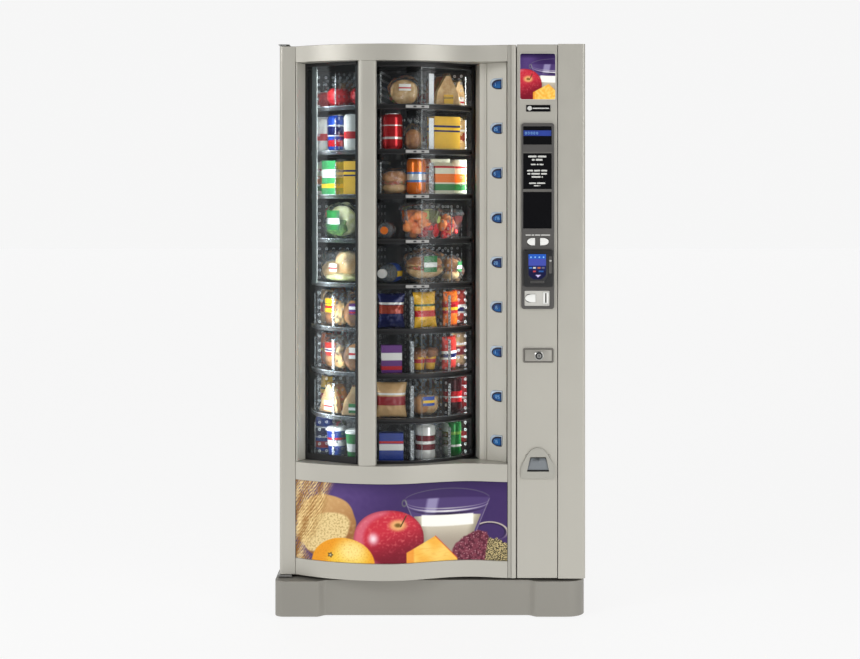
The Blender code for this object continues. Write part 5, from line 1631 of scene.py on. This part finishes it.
def apple(name, place, radius=0.036):
    """Apple with dimples and a stem."""
    profile = [(0, radius * 0.16)]
    for i in range(1, 24):
        turn = math.pi * i / 24
        reach = radius * math.sin(turn) ** 0.86 * (1 - 0.06 * math.cos(turn))
        level = radius * (0.94 - 0.90 * math.cos(turn))
        foot, crown = math.exp(-(turn / 0.35) ** 2), math.exp(-((math.pi - turn) / 0.4) ** 2)
        level += radius * 0.20 * (foot - crown)
        profile.append((reach, level))
    profile.append((0, radius * 1.62))
    good(f"{name}_fruit", turned(profile, (0, 0), 40), [LABELS["apple_skin"]], place, smooth=70)
    path = [Vector((0.002 * i * i / 6, 0, radius * 1.60 + 0.004 * i)) for i in range(5)]
    stem = sweep(path, circle((0, 0), 0.0011, 8))
    good(f"{name}_stem", stem, [LABELS["muffin"]], place, smooth=60)


def cup(name, place, look="box_blue"):
    """Lidded paper cup with a straw."""
    wall = turned([(0, 0.002), (0.024, 0.0), (0.026, 0.002), (0.034, 0.084), (0.0345, 0.086)],
                  (0, 0), 40)
    good(f"{name}_wall", wall, [LABELS[look]], place, smooth=50)
    lid = turned([(0.0345, 0.084), (0.0362, 0.085), (0.0362, 0.089), (0.0330, 0.091),
                  (0.0310, 0.096), (0.0280, 0.097), (0, 0.097)], (0, 0), 40)
    good(f"{name}_lid", lid, [LABELS["cap_white"]], place, smooth=40)
    path = [Vector((0.004, 0, 0.090 + 0.003 * i)) for i in range(7)]
    path += [Vector((0.004 + 0.004 * i, 0, 0.108 + 0.0012 * i)) for i in range(1, 5)]
    good(f"{name}_straw", sweep(path, circle((0, 0), 0.0028, 12)), [LABELS["can_red"]], place,
         smooth=60)


def muffins(name, place, seed):
    """Pair of muffins in a clear pack."""
    food = bmesh.new()
    for i, x in enumerate((-0.020, 0.020)):
        lump(food, (x, 0, 0.056), (0.023, 0.023, 0.020), seed + i, 0, 0.25, 2.2)
        wall = [(0.015, 0.006), (0.021, 0.052), (0.0, 0.054)]
        turned([(0, 0.006)] + wall, (x, 0), 24, shape=food, look=1)
    good(f"{name}_food", food, [LABELS["muffin"], LABELS["bag_yellow"]], place, smooth=50)
    pack = bmesh.new()
    lump(pack, (0, 0, 0.042), (0.046, 0.030, 0.041), seed, 0, 0.05, 4.0)
    for vert in pack.verts:
        vert.co.z = max(0.0002, vert.co.z)
    good(f"{name}_pack", pack, [LABELS["tub"]], place, smooth=40)


def fill_tray(tier, items, first=0):
    """Sets goods down in a tray; each is (maker, phi, radius, turn, arguments)."""
    for i, (maker, phi, radius, turn, facts) in enumerate(items, first):
        place = stand_on(tier, radius, phi) @ Matrix.Rotation(math.radians(turn), 4, "Z")
        facts = dict(facts)
        tilt = facts.pop("tilt", None)
        if tilt:
            angle, axis, lift = tilt
            place = place @ Matrix.Translation((0, 0, lift)) @ Matrix.Rotation(
                math.radians(angle), 4, axis)
        maker(f"goods_{tier}_{i + 1}", place, **facts)


SUB = [("bread", (0, 0, 0.030), (0.058, 0.022, 0.018), 0.10),
       ("filling", (0, -0.004, 0.032), (0.055, 0.024, 0.007), 0.25),
       ("crust", (0, 0, 0.044), (0.056, 0.021, 0.012), 0.10)]
BUN = [("crust", (0, 0, 0.056), (0.040, 0.026, 0.022), 0.08),
       ("filling", (0, 0, 0.038), (0.041, 0.028, 0.008), 0.3),
       ("bread", (0, 0, 0.022), (0.039, 0.026, 0.016), 0.08)]
SLICES = [("bread", (0, -0.012, 0.045), (0.044, 0.008, 0.040), 0.06),
          ("filling", (0, 0.000, 0.044), (0.043, 0.005, 0.040), 0.2),
          ("crust", (0, 0.012, 0.045), (0.044, 0.008, 0.040), 0.06)]
ROLLS = [("crust", (-0.012, 0, 0.036), (0.026, 0.024, 0.032), 0.12),
         ("bread", (0.018, 0, 0.034), (0.026, 0.024, 0.030), 0.12)]
TALL_ROLLS = [(a, (b[0], b[1], b[2] * 1.2), (c[0] * 1.35, c[1] * 1.1, c[2] * 1.3), d)
              for a, b, c, d in ROLLS]
SALAD = [("pale_fruit", (0, 0.004, 0.058), (0.058, 0.030, 0.050), 0.10),
         ("leafy", (-0.004, -0.016, 0.040), (0.050, 0.020, 0.030), 0.30),
         ("berry", (-0.040, -0.018, 0.078), (0.014, 0.012, 0.013), 0.2)]
LOAF = [("bread", (0.026, 0, 0.062), (0.046, 0.032, 0.040), 0.12),
        ("bread", (-0.030, -0.004, 0.038), (0.044, 0.032, 0.030), 0.12),
        ("pale_fruit", (0.004, -0.004, 0.016), (0.066, 0.036, 0.014), 0.10)]
GOODS = {
    1: [(wrapped, 11, 0.205, 0, dict(fills=SLICES, film_size=(0.096, 0.050, 0.096), seed=1.3,
                                     label=("label_white", (0.040, 0.022), 0.060))),
        (wedge_pack, 50, 0.220, -18, dict(seed=2.1, label="box_yellow", width=0.100, height=0.110)),
        (apple, -30, 0.200, 0, dict(radius=0.036)), (apple, -56, 0.215, 30, dict(radius=0.038)),
        (apple, -64, 0.140, 0, dict(radius=0.036)), (apple, -85, 0.228, 10, dict(radius=0.034)),
        (wedge_pack, 84, 0.205, -40, dict(seed=2.7, label="label_white"))],
    2: [(can, 1, 0.220, 10, dict(look="can_red")),
        (wrapped, 19.5, 0.215, 60, dict(fills=ROLLS, film_size=(0.086, 0.056, 0.084), seed=4.2)),
        (carton, 50.5, 0.220, -18, dict(look="box_yellow", size=(0.100, 0.046, 0.112))),
        (carton, 86, 0.205, -40, dict(look="bag_cream", size=(0.070, 0.050, 0.108))),
        (can, -53, 0.226, 0, dict(look="can_blue")), (can, -33, 0.226, 0, dict(look="label_white")),
        (can, -86, 0.232, 0, dict(look="label_white")),
        (can, -70, 0.180, 0, dict(look="box_blue"))],
    3: [(wrapped, 3, 0.208, 24, dict(fills=BUN, film_size=(0.092, 0.066, 0.086), seed=6.6)),
        (can, 21, 0.226, 0, dict(look="can_orange")),
        (carton, 49, 0.210, -20, dict(look="carton", size=(0.074, 0.066, 0.118), gable=0.026)),
        (can, 86, 0.210, 0, dict(look="can_orange")), (can, 72, 0.235, 0, dict(look="carton")),
        (carton, -60, 0.222, 18, dict(look="box_green", size=(0.066, 0.050, 0.112))),
        (carton, -88, 0.232, 30, dict(look="carton", size=(0.044, 0.044, 0.108))),
        (carton, -31, 0.230, 14, dict(look="box_yellow", size=(0.066, 0.040, 0.108)))],
    4: [(bottle, -5, 0.130, 0, dict(cap="cap_orange", label="can_orange", length=0.132,
                                    radius=0.026, tilt=(90, "X", 0.028))),
        (tub, 27, 0.206, 0, dict(radius=0.064, height=0.118, seed=8, chunk=0.0150, count=105,
                                 fills=["melon", "berry", "honeydew"], oval=(1.17, 0.86),
                                 sorted_fruit=True)),
        (tub, 66, 0.200, 0, dict(radius=0.055, height=0.096, fills=["berry", "melon"], seed=9,
                                 chunk=0.014)),
        (wrapped, -58, 0.198, 16, dict(fills=SALAD, film_size=(0.136, 0.084, 0.116), seed=10.0,
                                       label=("label_green", (0.060, 0.064), 0.060)))],
    5: [(bottle, 14, 0.105, -34, dict(cap="cap_white", label="label_blue_band", length=0.165,
                                      radius=0.031, tilt=(90, "X", 0.033))),
        (wrapped, 31.5, 0.204, 0, dict(fills=[(a, (b[0], b[1], b[2] * 1.5),
                                              (c[0] * 1.12, c[1] * 1.3, c[2] * 1.7), d)
                                            for a, b, c, d in SUB],
                                     film_size=(0.138, 0.080, 0.106), seed=12.1,
                                     label=("label_green", (0.050, 0.052), 0.062))),
        (wrapped, 64, 0.214, 0, dict(fills=BUN, film_size=(0.096, 0.070, 0.086), seed=13.4,
                                     label=("label_green", (0.034, 0.034), 0.050))),
        (wrapped, -57, 0.198, 16, dict(fills=LOAF, film_size=(0.150, 0.086, 0.108), seed=14.8,
                                       label=("label_white", (0.036, 0.026), 0.048)))],
    6: [(pouch, 0, 0.226, 0, dict(look="bag_blue", size=(0.088, 0.040, 0.112), seed=1.0)),
        (pouch, 30, 0.222, 8, dict(look="bag_yellow", size=(0.092, 0.036, 0.114), seed=2.0,
                                   lean=0.010)),
        (pouch, 59.5, 0.222, 0, dict(look="bag_orange", size=(0.092, 0.040, 0.112), seed=3.0)),
        (wrapped, -60, 0.214, 16, dict(fills=TALL_ROLLS, film_size=(0.096, 0.062, 0.112), seed=16.0,
                                       label=("bag_yellow", (0.052, 0.046), 0.066))),
        (pouch, -88, 0.222, 30, dict(look="bag_cream", size=(0.076, 0.040, 0.112), seed=6.0)),
        (pouch, 88, 0.222, -34, dict(look="bag_red", size=(0.080, 0.040, 0.112), seed=7.0)),
        (wrapped, -31, 0.214, 12, dict(fills=TALL_ROLLS, film_size=(0.094, 0.062, 0.110),
                                       seed=17.0, label=("box_purple", (0.040, 0.036), 0.060)))],
    7: [(carton, 0, 0.222, 6, dict(look="box_purple", size=(0.066, 0.036, 0.088))),
        (muffins, 30, 0.215, 0, dict(seed=3.3)),
        (pouch, 59, 0.218, 0, dict(look="bag_red", size=(0.088, 0.040, 0.108), seed=4.0)),
        (wrapped, -60, 0.214, 16, dict(fills=TALL_ROLLS, film_size=(0.096, 0.062, 0.110), seed=19.0,
                                       label=("bag_red", (0.050, 0.044), 0.066))),
        (pouch, -88, 0.222, 30, dict(look="bag_orange", size=(0.076, 0.040, 0.110), seed=8.0)),
        (pouch, 88, 0.222, -34, dict(look="bag_cream", size=(0.080, 0.040, 0.110), seed=9.0)),
        (wrapped, -31, 0.214, 12, dict(fills=TALL_ROLLS, film_size=(0.094, 0.062, 0.108), seed=5.1,
                                       label=("label_white", (0.040, 0.036), 0.060)))],
    8: [(pouch, 0, 0.226, 0, dict(look="bag_cream", size=(0.100, 0.042, 0.112), seed=5.0)),
        (wrapped, 30, 0.214, 0, dict(fills=ROLLS, film_size=(0.088, 0.060, 0.088), seed=21.0,
                                     label=("label_blue_band", (0.044, 0.030), 0.048))),
        (can, 62, 0.224, 0, dict(look="can_dark")),
        (wedge_pack, -60, 0.218, 18, dict(seed=22.0, label="label_white", width=0.090)),
        (pouch, -88, 0.222, 30, dict(look="bag_yellow", size=(0.076, 0.040, 0.108), seed=10.0)),
        (can, 88, 0.228, 0, dict(look="can_red")),
        (wedge_pack, -31, 0.218, 14, dict(seed=23.0, label="label_green", width=0.090))],
    9: [(carton, 0, 0.222, 0, dict(look="box_blue", size=(0.078, 0.040, 0.092))),
        (can, 29, 0.226, 0, dict(look="can_white")),
        (can, 60, 0.226, 0, dict(look="can_green")),
        (cup, -59, 0.214, 0, dict()),
        (cup, -33, 0.214, 0, dict(look="label_green")),
        (can, -88, 0.230, 0, dict(look="can_blue")), (can, 88, 0.230, 0, dict(look="can_dark"))],
}


# ---------------------------------------------------------------- cabinet, base and works


def make_lamp_cover():
    """Pale strip light cover inside, behind the left pane."""
    lamp = solid(rounded((-0.3840, -0.3670), (-0.2985, -0.2915), 0.0025, 4), 1.060, 1.792)
    piece("lamp_cover", lamp, LOOK["lamp_cover"], "cabinet", 0.0006, smooth=40)


def make_kick_plate():
    """Skirt with a set-back middle, smooth steps and rounded ends, and its turned-in top edge."""
    middle, half_width, left, right = -0.392, 0.495, 0.030, 0.060
    front, side_end = middle - 0.020, -0.250
    path = [(-half_width, side_end)]
    path += arc((-half_width + left, front + left), left, 180, 270, 16)
    path += step((-0.362, front), (-0.330, middle)) + step((0.312, middle), (0.342, front))
    path += arc((half_width - right, front + right), right, 270, 360, 20)
    path.append((half_width, side_end))
    skirt = solid(ribbon(path, 0.003), 0.003, 0.1155)
    piece("skirt", skirt, LOOK["kick_paint"], "cabinet", 0.0007, replaces=("kick_plate",),
          slot="kick_paint", smooth=25)
    lip = solid(offset(path, 0.0015), 0.1125, 0.1150)
    piece("skirt_lip", lip, LOOK["kick_paint"], "cabinet", 0.0005, slot="kick_paint", smooth=25)


def step(start, end, steps=14):
    points = []
    for i in range(steps + 1):
        share = (1 - math.cos(math.pi * i / steps)) / 2
        x = start[0] + (end[0] - start[0]) * i / steps
        points.append((x, start[1] + (end[1] - start[1]) * share))
    return points


def make_fan(name, centre, radius, y, blades=7):
    """Fan with a domed hub and pitched, curved blades, inside its CAD disc."""
    hub = radius * 0.28
    shape = turned([(0, y[0] + 0.0005), (radius * 0.22, y[0] + 0.0015), (hub, y[0] + 0.006),
                    (hub, y[1]), (0, y[1])], centre, 32, upright)
    for i in range(blades):
        start = 360 * i / blades
        front, back = [], []
        for j in range(9):
            reach = radius * (0.26 + 0.72 * j / 8)
            sweep_back = 16 * (j / 8) ** 2
            for k, line in ((0, front), (1, back)):
                turn = math.radians(start + sweep_back + k * 34)
                depth = y[0] + 0.003 + (y[1] - y[0] - 0.006) * k
                line.append((centre[0] + reach * math.cos(turn), depth,
                             centre[1] + reach * math.sin(turn)))
        for side in (0.0, 0.0012):
            weave(shape, [[shape.verts.new((x, yy + side, z)) for x, yy, z in line]
                          for line in (front, back)])
    piece(f"{name}_rotor", shape, LOOK["black"], name, smooth=50, replaces=(name,),
          slot="black_plastic")


def make_works_details():
    """Grille screws, mains inlet pins and hinge knuckles."""
    screws = bmesh.new()
    for x in (-0.396, -0.120, 0.156):
        for z in (0.169, 0.401):
            turned([(0, 0.4498), (0.0030, 0.4496), (0.0042, 0.4485), (0.0042, 0.4470),
                    (0, 0.4470)], (x, z), 20, upright, screws)
    piece("grille_screws", screws, LOOK["zinc"], "cabinet", smooth=50)
    pins = bmesh.new()
    for dx, dz in ((0, 0.006), (-0.008, -0.004), (0.008, -0.004)):
        block(pins, (0.336 + dx - 0.001, 0.336 + dx + 0.001), (0.4465, 0.4495),
              (0.234 + dz - 0.003, 0.234 + dz + 0.003))
    piece("inlet_pins", pins, LOOK["steel"], "cabinet", 0.0002)
    for name, z in (("upper_knuckle", 1.8245), ("lower_knuckle", 0.1178)):
        knuckle = turned([(0, z), (0.0085, z), (0.0095, z + 0.0010), (0.0095, z + 0.0035),
                          (0.0085, z + 0.0050), (0, z + 0.0052)], MAIN_HINGE, 28)
        piece(name, knuckle, LOOK["zinc"], "cabinet", smooth=45)


# ---------------------------------------------------------------- stage, light and camera


def glowing(name, colour, glow):
    """A pale ground that is nearly as bright as the sky behind it."""
    f = Finish(name)
    f.set(Base_Color=(*colour, 1.0), Roughness=0.8, Emission_Color=(1.0, 1.0, 1.0, 1.0),
          Emission_Strength=glow)
    return f.made


def make_stage():
    floor = box(*FLOOR)
    mesh = bpy.data.meshes.new("floor")
    floor.to_mesh(mesh)
    floor.free()
    thing = bpy.data.objects.new("floor", mesh)
    bpy.context.scene.collection.objects.link(thing)
    mesh.materials.append(glowing("floor_pale", (FLOOR_GREY,) * 3, FLOOR_GLOW))
    world = bpy.data.worlds.new("pale")
    bpy.context.scene.world = world
    world.use_nodes = True
    nodes, links = world.node_tree.nodes, world.node_tree.links
    split = nodes.new("ShaderNodeSeparateXYZ")
    links.new(nodes.new("ShaderNodeTexCoord").outputs["Generated"], split.inputs[0])
    level = nodes.new("ShaderNodeMapRange")
    for socket, value in zip(level.inputs[1:5], SKY_RAMP):
        socket.default_value = value
    links.new(split.outputs[1], level.inputs[0])
    links.new(level.outputs[0], nodes["Background"].inputs["Color"])


def area_light(name, place, aim, size, power, hidden):
    lamp = bpy.data.lights.new(name, "AREA")
    lamp.shape, lamp.size, lamp.size_y = "RECTANGLE", size[0], size[1]
    lamp.energy = power
    thing = bpy.data.objects.new(name, lamp)
    bpy.context.scene.collection.objects.link(thing)
    thing.location = place
    thing.visible_camera, thing.visible_glossy = False, not hidden
    thing.rotation_euler = (Vector(aim) - Vector(place)).to_track_quat("-Z", "Y").to_euler()


EYE, LENS, SENSOR, SHIFT_UP = (0.0, -5.407, 1.320), 65.7, 36.0, -0.1471
FLOOR, FLOOR_GREY, FLOOR_GLOW = ((-30.0, 30.0), (-6.5, 40.0), (-0.020, -0.0002)), 0.10, 0.86
# Sky: as a direction's y rises between the first two, its brightness rises between the others
SKY_RAMP = (0.70, 0.88, 0.20, 0.925)


def make_camera():
    camera = bpy.data.cameras.new("photo_view")
    camera.lens, camera.sensor_width, camera.shift_y = LENS, SENSOR, SHIFT_UP
    thing = bpy.data.objects.new("photo_view", camera)
    bpy.context.scene.collection.objects.link(thing)
    thing.location = EYE
    thing.rotation_euler = (math.radians(90), 0.0, 0.0)
    bpy.context.scene.camera = thing


# CAD nodes that stay on show: their look and how wide their edges are rounded
CARRIED = {
    # The window jamb takes the lighter body paint: painted light.
    "window_jamb": ("lit_body_paint", 0.0004), "price_display_bar": ("lens_rim", 0.0003),
    "money_door": ("body_paint", 0.0010), "column_housing": ("body_paint", 0.0008),
    "control_bezel": ("bezel", 0.0010), "display_module": ("screen", 0.0004),
    "coin_plate": ("pale_grey", 0.0006), "lock_cylinder": ("steel", 0.0004),
    "coin_cup": ("cup_grey", 0.0004), "drum_spindle": ("drum_core", 0.0004),
    "drive_pinion": ("white", 0.0003), "drum_motor": ("zinc", 0.0015),
    "drum_top_bearing": ("black", 0.0012), "cabinet_shell": ("cabinet_paint", 0.0015),
    "partition_wall": ("liner_light", 0.0008), "deck_floor": ("interior", 0.0008),
    "evaporator_cover": ("interior", 0.0006), "compressor": ("black", 0.0008),
    "power_inlet": ("black", 0.0008), "coin_changer": ("bezel", 0.0008),
    "condenser_unit": ("aluminium", 0.0005), "evaporator_coil": ("aluminium", 0.0005),
    "rear_grille": ("steel", 0.0004), "base_frame": ("zinc", 0.0010),
    "top_hinge_bracket": ("zinc", 0.0005), "bottom_hinge_bracket": ("zinc", 0.0005),
}
# Lamps: place, aim, size, watts, and whether they are kept out of reflections
LAMPS = {
    "key": ((-4.0, -4.1, 3.3), (0.0, -0.2, 0.9), (2.2, 2.2), 112.0, False),
    "fill": ((3.4, -3.8, 2.0), (0.1, -0.2, 0.9), (2.0, 3.0), 70.0, False),
    "left_wall": ((-4.6, -1.1, 1.2), (-0.45, -0.35, 1.0), (2.4, 3.0), 34.0, False),
    "low_front": ((1.5, -3.7, 0.7), (0.36, -0.4, 0.75), (1.4, 0.8), 22.0, True),
    "lamp_left": ((-0.3645, -0.302, 1.13), (-0.125, -0.102, 1.13), (0.02, 1.25), 3.2, True),
    "lamp_right": ((0.140, -0.225, 1.13), (-0.125, -0.160, 1.13), (0.03, 1.25), 2.2, True),
}
# Fans: centre seen from the front, radius, and front and back
FANS = {"evaporator_fan": ((AXIS[0], 1.500), 0.088, (0.200, 0.225)),
        "condenser_fan": ((0.030, 0.276), 0.088, (0.210, 0.235))}
# Tiers whose wide compartments would not match repeated goods, and the others' first number
WIDE_TIERS, BACK_GOODS_FROM = (4, 5), 20


def fill_drum_tray(tier):
    """Goods at the front of a tray and, where its compartments match, again round the back."""
    fill_tray(tier, GOODS[tier])
    if tier not in WIDE_TIERS:
        back = [(maker, phi + 180, *rest) for maker, phi, *rest in GOODS[tier] if abs(phi) < 80]
        fill_tray(tier, back, BACK_GOODS_FROM)


def main():
    make_camera()
    make_stage()
    for name, facts in LAMPS.items():
        area_light(name, *facts)
    bpy.context.scene.view_settings.view_transform = "Standard"
    for node, (look, bevel) in CARRIED.items():
        carry_over(node, LOOK[look], bevel)
    for tier in range(1, TIERS + 1):
        for make in (make_hand_door, make_tray, fill_drum_tray):
            make(tier)
    for make in (make_door_frame, make_pin_bushings, make_gaskets, make_window, make_track,
                 make_graphic, make_price_panel, make_tall_picture, make_screens, make_note_unit,
                 make_coin_parts, make_lock, make_cup, make_lamp_cover, make_kick_plate,
                 make_works_details):
        make()
    for name, facts in FANS.items():
        make_fan(name, *facts)


main()
